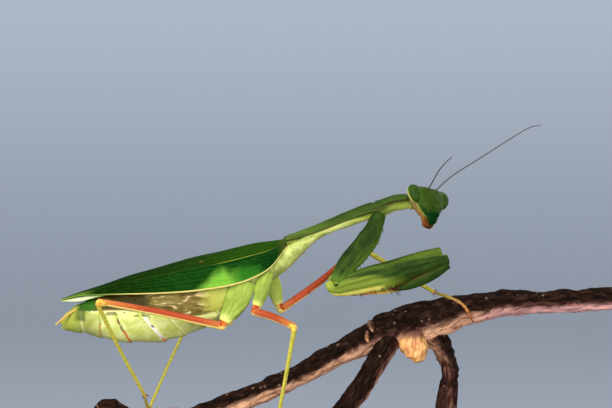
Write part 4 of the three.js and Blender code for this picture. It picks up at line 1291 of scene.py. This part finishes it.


# ---- The walking legs --------------------------------------------------------------------------
# Four long thin legs: a ridged green first joint, a red-brown link, an orange-red thigh, both with a
# painted cream highlight underneath, a swollen knee, a yellow-green shin with two spurs, and a tan foot
# with claws.

# For each leg, places along the coxa, the femur, the tibia and the foot.
WALKING = {
    "middle_right": (
        [(-4.2, -2.2, 41.8), (-5.1, -3.3, 39), (-6, -4, 36.2)],
        [(-6.4, -4.1, 35), (-2.9, -12.2, 34.4), (0.85, -20.5, 33.2)],
        [(0.9, -20.6, 32.7), (-0.5, -16.9, 24.8), (-2, -13.1, 16.7)],
        [(-2.1, -13.1, 16.5), (-3.8, -13.3, 15.7), (-6.8, -13.9, 15.2), (-9.9, -14.1, 15.1)],
    ),
    "middle_left": (
        [(-3.6, 2.2, 41.4), (-2.9, 3.1, 38.8), (-2.3, 3.7, 36.3)],
        [(-1.9, 3.9, 34.9), (5.9, 6.7, 40.4), (12.95, 9, 46.5)],
        [(13.4, 9, 46.5), (20.2, 5.3, 42.3), (26.7, 1.3, 38.4)],
        [(26.8, 1.2, 38.3), (29.2, -1.2, 37.6), (31.8, -3, 36.2), (33.3, -3.1, 33.8)],
    ),
    "hind_right": (
        [(-8.7, -2.9, 40.3), (-9.9, -4, 36.9), (-11.9, -5, 33.4)],
        [(-12.2, -5.3, 32.4), (-23.4, -11.1, 35.2), (-33.9, -16, 37.4)],
        [(-34.2, -16, 37.0), (-30.7, -8.8, 28.2), (-26.7, -1.7, 19.4)],
        [(-26.7, -1.7, 19.2), (-26.2, -1.2, 17.2), (-23.8, -0.6, 16.7), (-20.9, -0.6, 16.9)],
    ),
    "hind_left": (
        [(-8.9, 2.9, 40.3), (-9.8, 3.9, 36.9), (-11.2, 4.8, 33.5)],
        [(-11.5, 5.1, 32.6), (-15.6, 15.8, 32.7), (-19.5, 26.4, 32.3)],
        [(-19.9, 26.4, 31.9), (-23.6, 18.2, 23.7), (-26.9, 9.7, 15.5)],
        [(-26.9, 9.6, 15.3), (-26.4, 6.6, 13.9), (-24.5, 4.2, 14.9), (-22, 3.2, 16)],
    ),
}
# For each pair of legs, half the width and half the height along the coxa, and half the thickness
# along the femur and the tibia, which are a little narrower than they are high.
LEG_SIZES = {
    "middle": ([(1.0, 1.35), (1.05, 1.3), (0.8, 0.9)], (0.72, 0.66, 0.56), (0.5, 0.42, 0.4)),
    "hind": ([(1.25, 2.6), (1.2, 2.15), (0.88, 1.1)], (0.7, 0.6, 0.52), (0.4, 0.34, 0.34)),
}
NARROW = 0.86

root = skin("walking_coxa_green")
rise, along = root.own("rise"), root.own("along")
streak, small = root.blotches(0.5, 4, 0.6, 0.3, root.round_limb(0.15, 1.5)), root.blotches(0.35, 4, 0.6)
tone = root.coats(
    root.mix(streak.over(0.35, 0.65), paint(128, 150, 58), paint(154, 174, 76)),
    (rise.over(0.3, 0.9) * 0.4, paint(128, 150, 54)),
    # Painted light on the far middle coxa, which lies in the shade of the other legs.
    (root.y.over(1, 2.5) * root.x.over(-6, -5) * 0.75, paint(190, 208, 96)),
    ((along + 0.2 * small).over(0.86, 1.04), paint(222, 226, 128)),
)
walking_root = root.done(tone, 0.4 + 0.2 * small, small + streak * 1.2, 0.07)

link = skin("leg_link_skin")
cloud = link.blotches(0.55, 3, 0.5, 0.6)
tone = link.coats(
    link.mix(cloud.over(0.42, 0.58), paint(150, 40, 24), paint(212, 112, 50)),
    # Painted highlight: the link's underside is lightened to pale yellow.
    ((-0.1 - link.own("rise") + cloud).over(0.35, 0.75), paint(240, 214, 118)),
)
link_skin = link.done(tone, 0.42, cloud, 0.08)

thigh = skin("walking_thigh_red", subsurface_weight=0.25)
rise, small = thigh.own("rise"), thigh.blotches(0.35, 4, 0.6)
orange = thigh.ramp(
    thigh.own("along") + 0.1 * (small - 0.5),
    (0.0, paint(204, 128, 76)),
    (0.1, paint(204, 118, 68)),
    (0.24, paint(192, 86, 52)),
    (0.6, paint(180, 76, 46)),
    (0.85, paint(208, 124, 64)),
    (1.0, paint(214, 162, 78)),
)
tone = thigh.coats(
    orange,
    (rise.over(0.45, 0.85) * 0.45, paint(128, 44, 24)),
    # Painted highlight: the thigh's underside is lightened to cream.
    ((-0.5 - rise + 0.2 * (small - 0.5)).over(0, 0.2), paint(248, 222, 128)),
    (thigh.blotches(0.8).over(0.6, 0.68) * 0.5, paint(120, 34, 22)),
)
thigh_skin = thigh.done(tone, 0.38 + 0.2 * small, small + rise.near(0.2, 0.05, 0.1), 0.06)

knee = skin("knee_skin")
small = knee.blotches(0.4, 4, 0.6)
tone = knee.mix(small.over(0.4, 0.6), paint(206, 142, 50), paint(238, 204, 92))
knee_skin = knee.done(tone, 0.4, small, 0.06)

shin = skin("walking_shin_green", subsurface_weight=0.3)
along, small = shin.own("along"), shin.blotches(0.3, 4, 0.6)
tone = shin.coats(
    shin.mix(small.over(0.35, 0.65), paint(176, 166, 54), paint(206, 198, 88)),
    (shin.own("rise").over(0.3, 0.9) * 0.3, paint(138, 130, 46)),
    (along.over(0.08, 0.0), paint(226, 190, 82)),
    ((along + 0.1 * small).over(0.93, 1.03), paint(188, 140, 76)),
)
shin_skin = shin.done(tone, 0.42, small, 0.05)

tan = skin("walking_foot_tan")
small = tan.blotches(0.35, 4, 0.6)
tone = tan.ramp(
    tan.own("along") + 0.1 * small,
    (0.0, paint(120, 118, 50)),
    (0.3, paint(136, 112, 52)),
    (0.7, paint(168, 108, 62)),
    (1.0, paint(128, 72, 44)),
)
tone = tan.mix((-0.3 - tan.own("rise")).over(0, 0.6) * 0.5, tone, paint(206, 166, 104))
foot_skin = tan.done(tone, 0.5, small, 0.04)


def walking_coxa_relief(here, along, rise, flank):
    """Two ribs on each face, and fine lumps."""
    rib = 0.16 * bump(abs(rise) - 0.35, 0.2) * math.sin(math.pi * along)
    return rib + 0.06 * noise.noise(here * 1.3)


def link_relief(here, along, rise, flank):
    """Lumps, and the groove where its two halves join."""
    return 0.12 * noise.noise(here * 2.2) - 0.12 * bump(along - 0.4, 0.08)


def femur_relief(here, along, rise, flank):
    """Keels along both sides, the top and the bottom."""
    keels = 0.07 * bump(abs(flank) - 0.6, 0.2) + 0.06 * bump(1 - abs(rise), 0.12)
    return keels + 0.03 * noise.noise(here)


def knee_relief(here, along, rise, flank):
    """A lobe on each side."""
    return 0.06 * bump(abs(flank) - 0.9, 0.4) * math.sin(math.pi * along)


def tibia_relief(here, along, rise, flank):
    """A swollen end."""
    return 0.07 * bump(along - 1, 0.1) + 0.03 * noise.noise(here * 1.5)


SWING = (0.2, 0, 1)
for name, (coxa, femur, tibia, toes) in WALKING.items():
    coxa_sizes, femur_halves, tibia_halves = LEG_SIZES[name.split("_")[0]]
    coxa = sized(coxa, coxa_sizes)
    femur, tibia = (
        sized(places, [(NARROW * half, half) for half in halves])
        for places, halves in ((femur, femur_halves), (tibia, tibia_halves))
    )
    piece = draw_out(name + "_coxa_piece", coxa, 18, 18, up=COXA_UP)
    fix(press(piece, walking_coxa_relief), walking_root, "pale_green", name + "_coxa")

    # The link bridges the gap from the coxa's end to a millimetre along the thigh.
    coxa_end, thigh_top = Vector(coxa[-1][:3]), Vector(femur[0][:3])
    onward = (Vector(femur[1][:3]) - thigh_top).normalized()
    rings = [
        (*(coxa_end + (coxa_end - thigh_top) * 0.2), 0.72, 0.72),
        (*(coxa_end * 0.4 + thigh_top * 0.6), 0.74, 0.74),
        (*(thigh_top + onward * 0.3), 0.76, 0.8),
        (*(thigh_top + onward), 0.62, 0.66),
    ]
    piece = draw_out(name + "_link", rings, 14, 14, up=(1, 0, 0.2))
    fix(press(piece, link_relief), link_skin, "leg_orange")

    piece = draw_out(name + "_thigh", femur, 30, 14, up=SWING)
    fix(press(piece, femur_relief), thigh_skin, "leg_orange", name + "_femur")

    # The knee bends round the middle of the gap between the thigh and the shin.
    bend = (Vector(femur[-1][:3]) + Vector(tibia[0][:3])) * 0.5
    back = (Vector(femur[1][:3]) - bend).normalized()
    down = (Vector(tibia[1][:3]) - bend).normalized()
    rings = [
        (*(bend + back * 1.5), 0.5, 0.54),
        (*(bend + back * 0.5 - down * 0.1), 0.58, 0.66),
        (*(bend + down * 0.25), 0.5, 0.6),
        (*(bend + down * 1.1), 0.38, 0.42),
    ]
    piece = draw_out(name + "_knee", rings, 14, 14, up=SWING)
    fix(press(piece, knee_relief), knee_skin, "shin_yellow")

    piece = draw_out(name + "_shin", tibia, 30, 12, up=SWING)
    fix(press(piece, tibia_relief), shin_skin, "shin_yellow", name + "_tibia")
    # Two spurs at the shin's end and a row of bristles down it.
    shin_end = Vector(tibia[-1][:3])
    ahead = (shin_end - Vector(tibia[-2][:3])).normalized()
    side = ahead.cross(Vector((0, 1, 0.2))).normalized()
    spurs = [(shin_end + side * s * 0.2 - ahead * 0.3, side * s * 0.55 + ahead * 1.05, 0.14) for s in (-1, 1)]
    shin_line = through(tibia, 101)
    for k in range(9):
        away = side * (0.3 if k % 2 else -0.3)
        spurs.append((Vector(shin_line[14 + 9 * k][:3]) + away, away * 0.7 + ahead * 0.4, 0.045))
    thorns(name + "_spurs", spurs, dark_horn)
    foot(name + "_foot", toes, 0.34, foot_skin, name + "_tarsus")

# Every thorn is copied by now, so the first one goes.
bpy.data.objects.remove(thorn)


# ---- The head ----------------------------------------------------------------------------------
# A flat-faced triangle turned to the animal's right and tilted back. It is drawn in its own frame,
# across to its left, back, and up to the crown, pressed with brows and seams, and then set on.
HEAD_CENTRE = Vector((25.35, -0.3, 54.93))
HEAD_LEFT = Vector((0.83, 0.513, -0.218)).normalized()
HEAD_CROWN = Vector((-0.093, 0.513, 0.853)).normalized()
HEAD_BACK = HEAD_CROWN.cross(HEAD_LEFT).normalized()
HEAD_TURN = Matrix((HEAD_LEFT, HEAD_BACK, HEAD_CROWN)).transposed()
# Heights from the mouth to the crown, with the half width, and the front and the back there.
CAPSULE = [
    (-3.5, 1.08, -1.35, 1.0), (-3.1, 1.38, -1.6, 1.15), (-2.5, 1.82, -1.85, 1.3), (-1.8, 2.3, -2.0, 1.45),
    (-0.9, 2.86, -2.08, 1.6), (0, 3.3, -2.05, 1.7), (0.9, 3.45, -2.0, 1.7), (1.6, 3.45, -1.85, 1.6),
    (2.05, 3.4, -1.5, 1.4), (2.38, 3.1, -1.05, 1.1), (2.6, 2.4, -0.55, 0.7),
]  # fmt: skip
FACE_SQUARE = (0.76, 0.56)


def set_on(piece):
    """Turns a piece made in the head's frame into its place."""
    piece.data.transform(Matrix.Translation(HEAD_CENTRE * MM) @ HEAD_TURN.to_4x4())
    piece.data.update()
    return piece


def head_part(name, stations, rings, sides=16, square=(1, 1), relief=None):
    """A part drawn up the head: each station is across, back, crown, half width and half depth."""
    piece = draw_out(name, stations, rings, sides, up=(0, 1, 0), square=square)
    if relief:
        press(piece, relief)
    return set_on(piece)


def head_relief(here, *_):
    """Brows over the feeler roots, seams down the face and behind the eyes, and full cheeks."""
    across, back, crown = abs(here.x), here.y, here.z
    front = max(0, min(1, -back - 0.4))
    brow = 0.12 * bump(crown - 2.0, 0.5) * bump(across - 0.9, 1.6)
    socket = 0.2 * bump(math.hypot(across - 0.85, crown - 1.75), 0.5)
    seam = 0.05 * bump(across - 1.6 - 0.12 * crown, 0.2) * bump(crown - 0.4, 2.2)
    middle = 0.05 * bump(across, 0.16) * bump(crown - 0.9, 1.3)
    rim = 0.1 * bump(back + 0.35, 0.28) * min(1, across) * bump(crown + 1.6, 2.2)
    behind = (0.3 * bump(crown - 1.6, 1.8) - 0.08) * max(0, back) * min(1, across / 1.5)
    return front * (brow - socket - seam - middle) + rim - behind + 0.03 * noise.noise(here * 1.6)


def head_skin(name, **held):
    """Head skin that also knows its place in the head's own frame."""
    made = skin(name, **held)
    from_centre = made.add("ShaderNodeVectorMath", {"operation": "SUBTRACT"}, {0: made.at, 1: HEAD_CENTRE})
    made.across, made.back, made.crown = (
        made.add("ShaderNodeVectorMath", {"operation": "DOT_PRODUCT"}, {0: from_centre, 1: axis}, "Value")
        for axis in (HEAD_LEFT, HEAD_BACK, HEAD_CROWN)
    )
    return made


stations = [(0, (front + back) / 2, crown, wide, (back - front) / 2) for crown, wide, front, back in CAPSULE]
capsule = head_part("head_capsule", stations, 30, 24, FACE_SQUARE, head_relief)
face = head_skin("face_green")
side = abs(face.across)
cloud, small = face.blotches(1.5, 3, 0.5, 0.4), face.blotches(0.3, 4, 0.6)
cheek = (face.back + 0.2 * (small - 0.5)).over(-0.42, -0.24) * side.over(0.4, 0.9)
beige = face.coats(
    face.mix(cloud.over(0.4, 0.6), paint(126, 108, 62), paint(154, 138, 88)),
    (face.cells(0.5).over(0.2, 0.1) * 0.6, paint(132, 88, 40)),
    ((-0.5 - face.crown + 0.8 * small).over(1.2, 2.6) * 0.7, paint(140, 92, 38)),
    ((face.crown - 0.4 * face.back).over(0.4, 1.4), paint(76, 94, 28)),
)
rim = face.back.near(-0.38, 0.06, 0.14) * side.over(0.6, 1.2)
tone = face.coats(
    face.mix(cloud.over(0.35, 0.65), paint(42, 62, 12), paint(54, 76, 18)),
    ((face.crown + 0.4 * cloud).over(-1.4, -2.4) * 0.8, paint(8, 48, 10)),
    ((side - 0.4 * cloud).over(1.4, 2.8) * face.crown.over(-1.5, 0.3) * 0.6, paint(56, 88, 22)),
    (face.crown.over(1.7, 2.6) * 0.5, paint(42, 52, 18)),
    (cheek, beige),
    (rim * 0.85, face.mix(face.crown.over(-3, 1), paint(120, 140, 50), paint(166, 164, 84))),
)
face_skin = face.done(tone, 0.42 + 0.2 * small, small, 0.04)
fix(capsule, face_skin, "leaf_green", "head")

# The frontal plate, the clypeus and the labrum lie one below the other down the middle of the face.
plate = head_skin("face_plate_green", specular_ior_level=0.04)
small = plate.blotches(0.3, 4, 0.6)
upper = (plate.crown + 0.5 * plate.blotches(0.9)).over(-1.9, -3.2)
tone = plate.coats(
    plate.mix(upper, paint(46, 66, 14), paint(4, 44, 8)),
    ((plate.crown + 0.3 * small).over(-3.9, -4.5) * 0.5, paint(3, 32, 6)),
    (plate.across.over(0.7, 0.95) * plate.crown.over(-3.6, -4.0) * 0.6, paint(190, 190, 150)),
)
plate_green = plate.done(tone, 0.36 + 0.2 * small, small, 0.04)
FACE_PLATES = {
    "frontal_plate": [
        (0, -1.52, -2.12, 1.2, 0.3), (0, -1.6, -1.85, 1.5, 0.36), (0, -1.66, -1.3, 1.5, 0.36),
        (0, -1.68, -0.7, 1.2, 0.32), (0, -1.68, -0.35, 0.6, 0.26),
    ],
    "clypeus": [
        (0, -1.15, -3.45, 1.15, 0.36), (0, -1.25, -3.2, 1.3, 0.46), (0, -1.4, -2.6, 1.5, 0.48),
        (0, -1.5, -2.18, 1.6, 0.4),
    ],
    "labrum": [
        (0, -0.4, -4.85, 0.34, 0.18), (0, -0.5, -4.62, 0.7, 0.28), (0, -0.75, -4.15, 1.1, 0.38),
        (0, -1.05, -3.5, 1.25, 0.38),
    ],
}  # fmt: skip
for name, stations in FACE_PLATES.items():
    fix(head_part(name, stations, 14, square=(0.9, 0.8)), plate_green, "leaf_green")

# Three small amber simple eyes on the brow.
amber = Finish(
    "simple_eye_amber", coat_weight=0.8, coat_roughness=0.1, subsurface_weight=0.3, subsurface_scale=0.0003
)
tone = amber.mix(amber.blotches(0.2), paint(110, 92, 36), paint(160, 146, 80))
amber_skin = amber.done(tone, 0.2, amber.blotches(0.3), 0.01)
SIMPLE_EYES = {"middle": (0, -1.62, 1.85), "right": (-0.5, -1.36, 2.12), "left": (0.5, -1.36, 2.12)}
for name, (across, back, crown) in SIMPLE_EYES.items():
    dot = head_part(
        "simple_eye_" + name,
        [
            (across, back, crown - 0.16, 0.13, 0.12), (across, back, crown, 0.2, 0.2),
            (across, back, crown + 0.16, 0.13, 0.12),
        ],
        5, 10,
    )  # fmt: skip
    fix(dot, amber_skin, "eye_green")


# ---- The eyes ----------------------------------------------------------------------------------
# Smooth green compound eyes set flush in the upper corners of the face, leaning out at the top.
# Each is a drawn ovoid with a fine net of facets.
eye = head_skin("compound_eye_green", coat_weight=0.02, coat_roughness=0.1, specular_ior_level=0.08)
cloud, facets = eye.blotches(1.2, 2, 0.5), eye.cells(0.085)
tone = eye.coats(
    eye.mix(cloud.over(0.35, 0.65), paint(40, 62, 10), paint(50, 78, 14)),
    (eye.crown.over(2.0, 3.0) * 0.7, paint(38, 48, 16)),
    ((abs(eye.across) + eye.back).over(3.3, 4.2) * 0.7, paint(80, 118, 26)),
    (eye.back.near(-0.08, 0.3, 0.15) * eye.crown.over(2.6, 2.0), paint(176, 172, 92)),
    (facets.over(0.35, 0.6) * 0.2, paint(24, 56, 16)),
)
eye_skin = eye.done(tone, 0.38, 0.5 - facets, 0.015)
# The middle of an eye; how far it leans out and rises for each millimetre up it, with half its width
# and its depth; and its height and how full it is, above the middle and below it.
EYE_ACROSS, EYE_BACK, EYE_CROWN = 3.06, -0.54, 1.05
EYE_LEAN, EYE_RISE, EYE_WIDE, EYE_DEEP = 0.28, 0.92, 1.38, 1.2
EYE_ABOVE, EYE_BELOW = (1.7, 0.7), (2.1, 0.75)
for side, name in SIDES:
    stations = []
    for k in range(11):
        turn = math.radians(-78 + 15.6 * k)
        tall, full = EYE_ABOVE if turn > 0 else EYE_BELOW
        up, wide = tall * math.sin(turn), math.cos(turn) ** full
        place = (side * (EYE_ACROSS + EYE_LEAN * up), EYE_BACK, EYE_CROWN + EYE_RISE * up)
        stations.append((*place, EYE_WIDE * wide, EYE_DEEP * wide))
    ball = head_part("compound_eye_" + name, stations, 22, 20, (0.86, 0.78))
    fix(ball, eye_skin, "eye_green", "eye_" + name)


# ---- The mouthparts ----------------------------------------------------------------------------
# Orange-brown jaws and lower lip behind the labrum, with two pairs of jointed palps.
# All are drawn out of rings in the head's frame and set on with it.
jaw = head_skin("mouth_brown")
small = jaw.blotches(0.35, 4, 0.6)
tone = jaw.coats(
    jaw.mix((jaw.crown + 0.8 * small).over(-2.8, -3.8), paint(122, 90, 34), paint(118, 62, 20)),
    ((jaw.crown + 0.5 * small).over(-4.1, -4.8) * 0.9, paint(62, 32, 12)),
    (jaw.back.over(0.35, 0.05) * 0.75, paint(74, 52, 20)),
    (jaw.across.over(0.6, 0.9) * 0.6, paint(188, 176, 130)),
)
jaw_skin = jaw.done(tone, 0.5, small, 0.06)
lip = head_part(
    "lower_lip",
    [
        (0, 0.6, -4.95, 0.55, 0.34), (0, 0.62, -4.6, 0.8, 0.55), (0, 0.72, -3.8, 1.1, 0.65),
        (0, 0.75, -2.9, 1.25, 0.65),
    ],
    16, 14, (0.9, 0.9),
)  # fmt: skip
fix(lip, jaw_skin, "mouth_brown", "mouthparts")
PALPS = {
    "long": [
        (1.15, 0.8, -3.0), (1.3, 0.65, -3.65), (1.1, 0.45, -4.3), (0.7, 0.4, -4.75), (0.35, 0.45, -4.95),
    ],
    "short": [(0.7, 1.2, -3.9), (0.8, 1.1, -4.4), (0.6, 0.9, -4.8), (0.3, 0.75, -5.0)],
}  # fmt: skip
JOINT_HALF, KNUCKLE_HALF = 0.15, 0.12
for side, name in SIDES:
    mandible = head_part(
        "mandible_" + name,
        [
            (side * 0.3, -0.15, -4.55, 0.34, 0.36), (side * 0.5, -0.2, -4.1, 0.5, 0.55),
            (side * 0.7, -0.2, -3.4, 0.52, 0.7), (side * 0.8, -0.2, -2.7, 0.5, 0.7),
        ],
        14, 12,
    )  # fmt: skip
    fix(mandible, jaw_skin, "mouth_brown")
    for kind, path in PALPS.items():
        middle = through([(side * across, back, crown) for across, back, crown in path], 13)
        rings = []
        for k, place in enumerate(middle):
            half = JOINT_HALF if k % 3 else KNUCKLE_HALF
            rings.append((*place, half, half))
        palp = draw_out(f"palp_{kind}_{name}", rings, None, 10, 1, up=(0.3, 1, 0.2))
        fix(set_on(palp), jaw_skin, "mouth_brown")


# ---- The feelers -------------------------------------------------------------------------------
# Thread-like and many-ringed, each from a stout first joint in its socket on the brow.
# They are drawn out of rings, thinner and thinner, and the sockets are set on with the head.

# The middle of the left socket and the root of its feeler, in the head's frame, and the feelers' routes.
SOCKET = (0.85, -1.82, 1.72)
FEELER_ROOT = [(0.85, -1.75, 1.72), (0.85, -2.05, 1.8)]
FEELERS = {
    "right": [(26.4, -4.4, 59.3), (27, -10, 60.8), (27.7, -16.5, 62), (28.5, -23, 63)],
    "left": [(29.9, -0.9, 59.9), (35.1, -0.2, 63.2), (40.8, 0.4, 66.8), (44.4, 0.8, 68.9), (46.5, 1, 69.3)],
}
# Half the thickness of the first joint, the second and the thread, and how much the thread loses.
FIRST_HALF, SECOND_HALF, THREAD_HALF, TAPER = 0.3, 0.2, 0.14, 0.07
SOCKET_RING = [(-0.34, 0.22), (-0.15, 0.42), (0.15, 0.42), (0.34, 0.22)]
feeler = skin("feeler_brown", subsurface_weight=0.0)
rings = (feeler.own("run") * 16).wave()
tone = feeler.ramp(
    feeler.own("along"),
    (0.0, paint(120, 150, 62)),
    (0.07, paint(96, 92, 62)),
    (0.2, paint(72, 64, 60)),
    (1.0, paint(64, 54, 58)),
)
feeler_skin = feeler.done(feeler.mix(rings * 0.35, tone, paint(120, 108, 96)), 0.5, rings, 0.03)
for side, name in SIDES:
    roots = [
        tuple(HEAD_CENTRE + HEAD_TURN @ Vector((side * across, back, crown)))
        for across, back, crown in FEELER_ROOT
    ]
    joints = []
    for k, place in enumerate(through(roots + FEELERS[name], 71)):
        half = FIRST_HALF if k < 5 else SECOND_HALF if k < 8 else THREAD_HALF - TAPER * k / 70
        joints.append((*place, half, half))
    piece = draw_out("feeler_" + name, joints, None, 8, 1, up=(0, 0.3, 1))
    fix(piece, feeler_skin, "feeler_brown", "antenna_" + name)
    across, back, crown = SOCKET
    stations = [(side * across, back, crown + up, half, half * 0.8) for up, half in SOCKET_RING]
    fix(head_part("feeler_socket_" + name, stations, 8, 12), face_skin, "leaf_green")
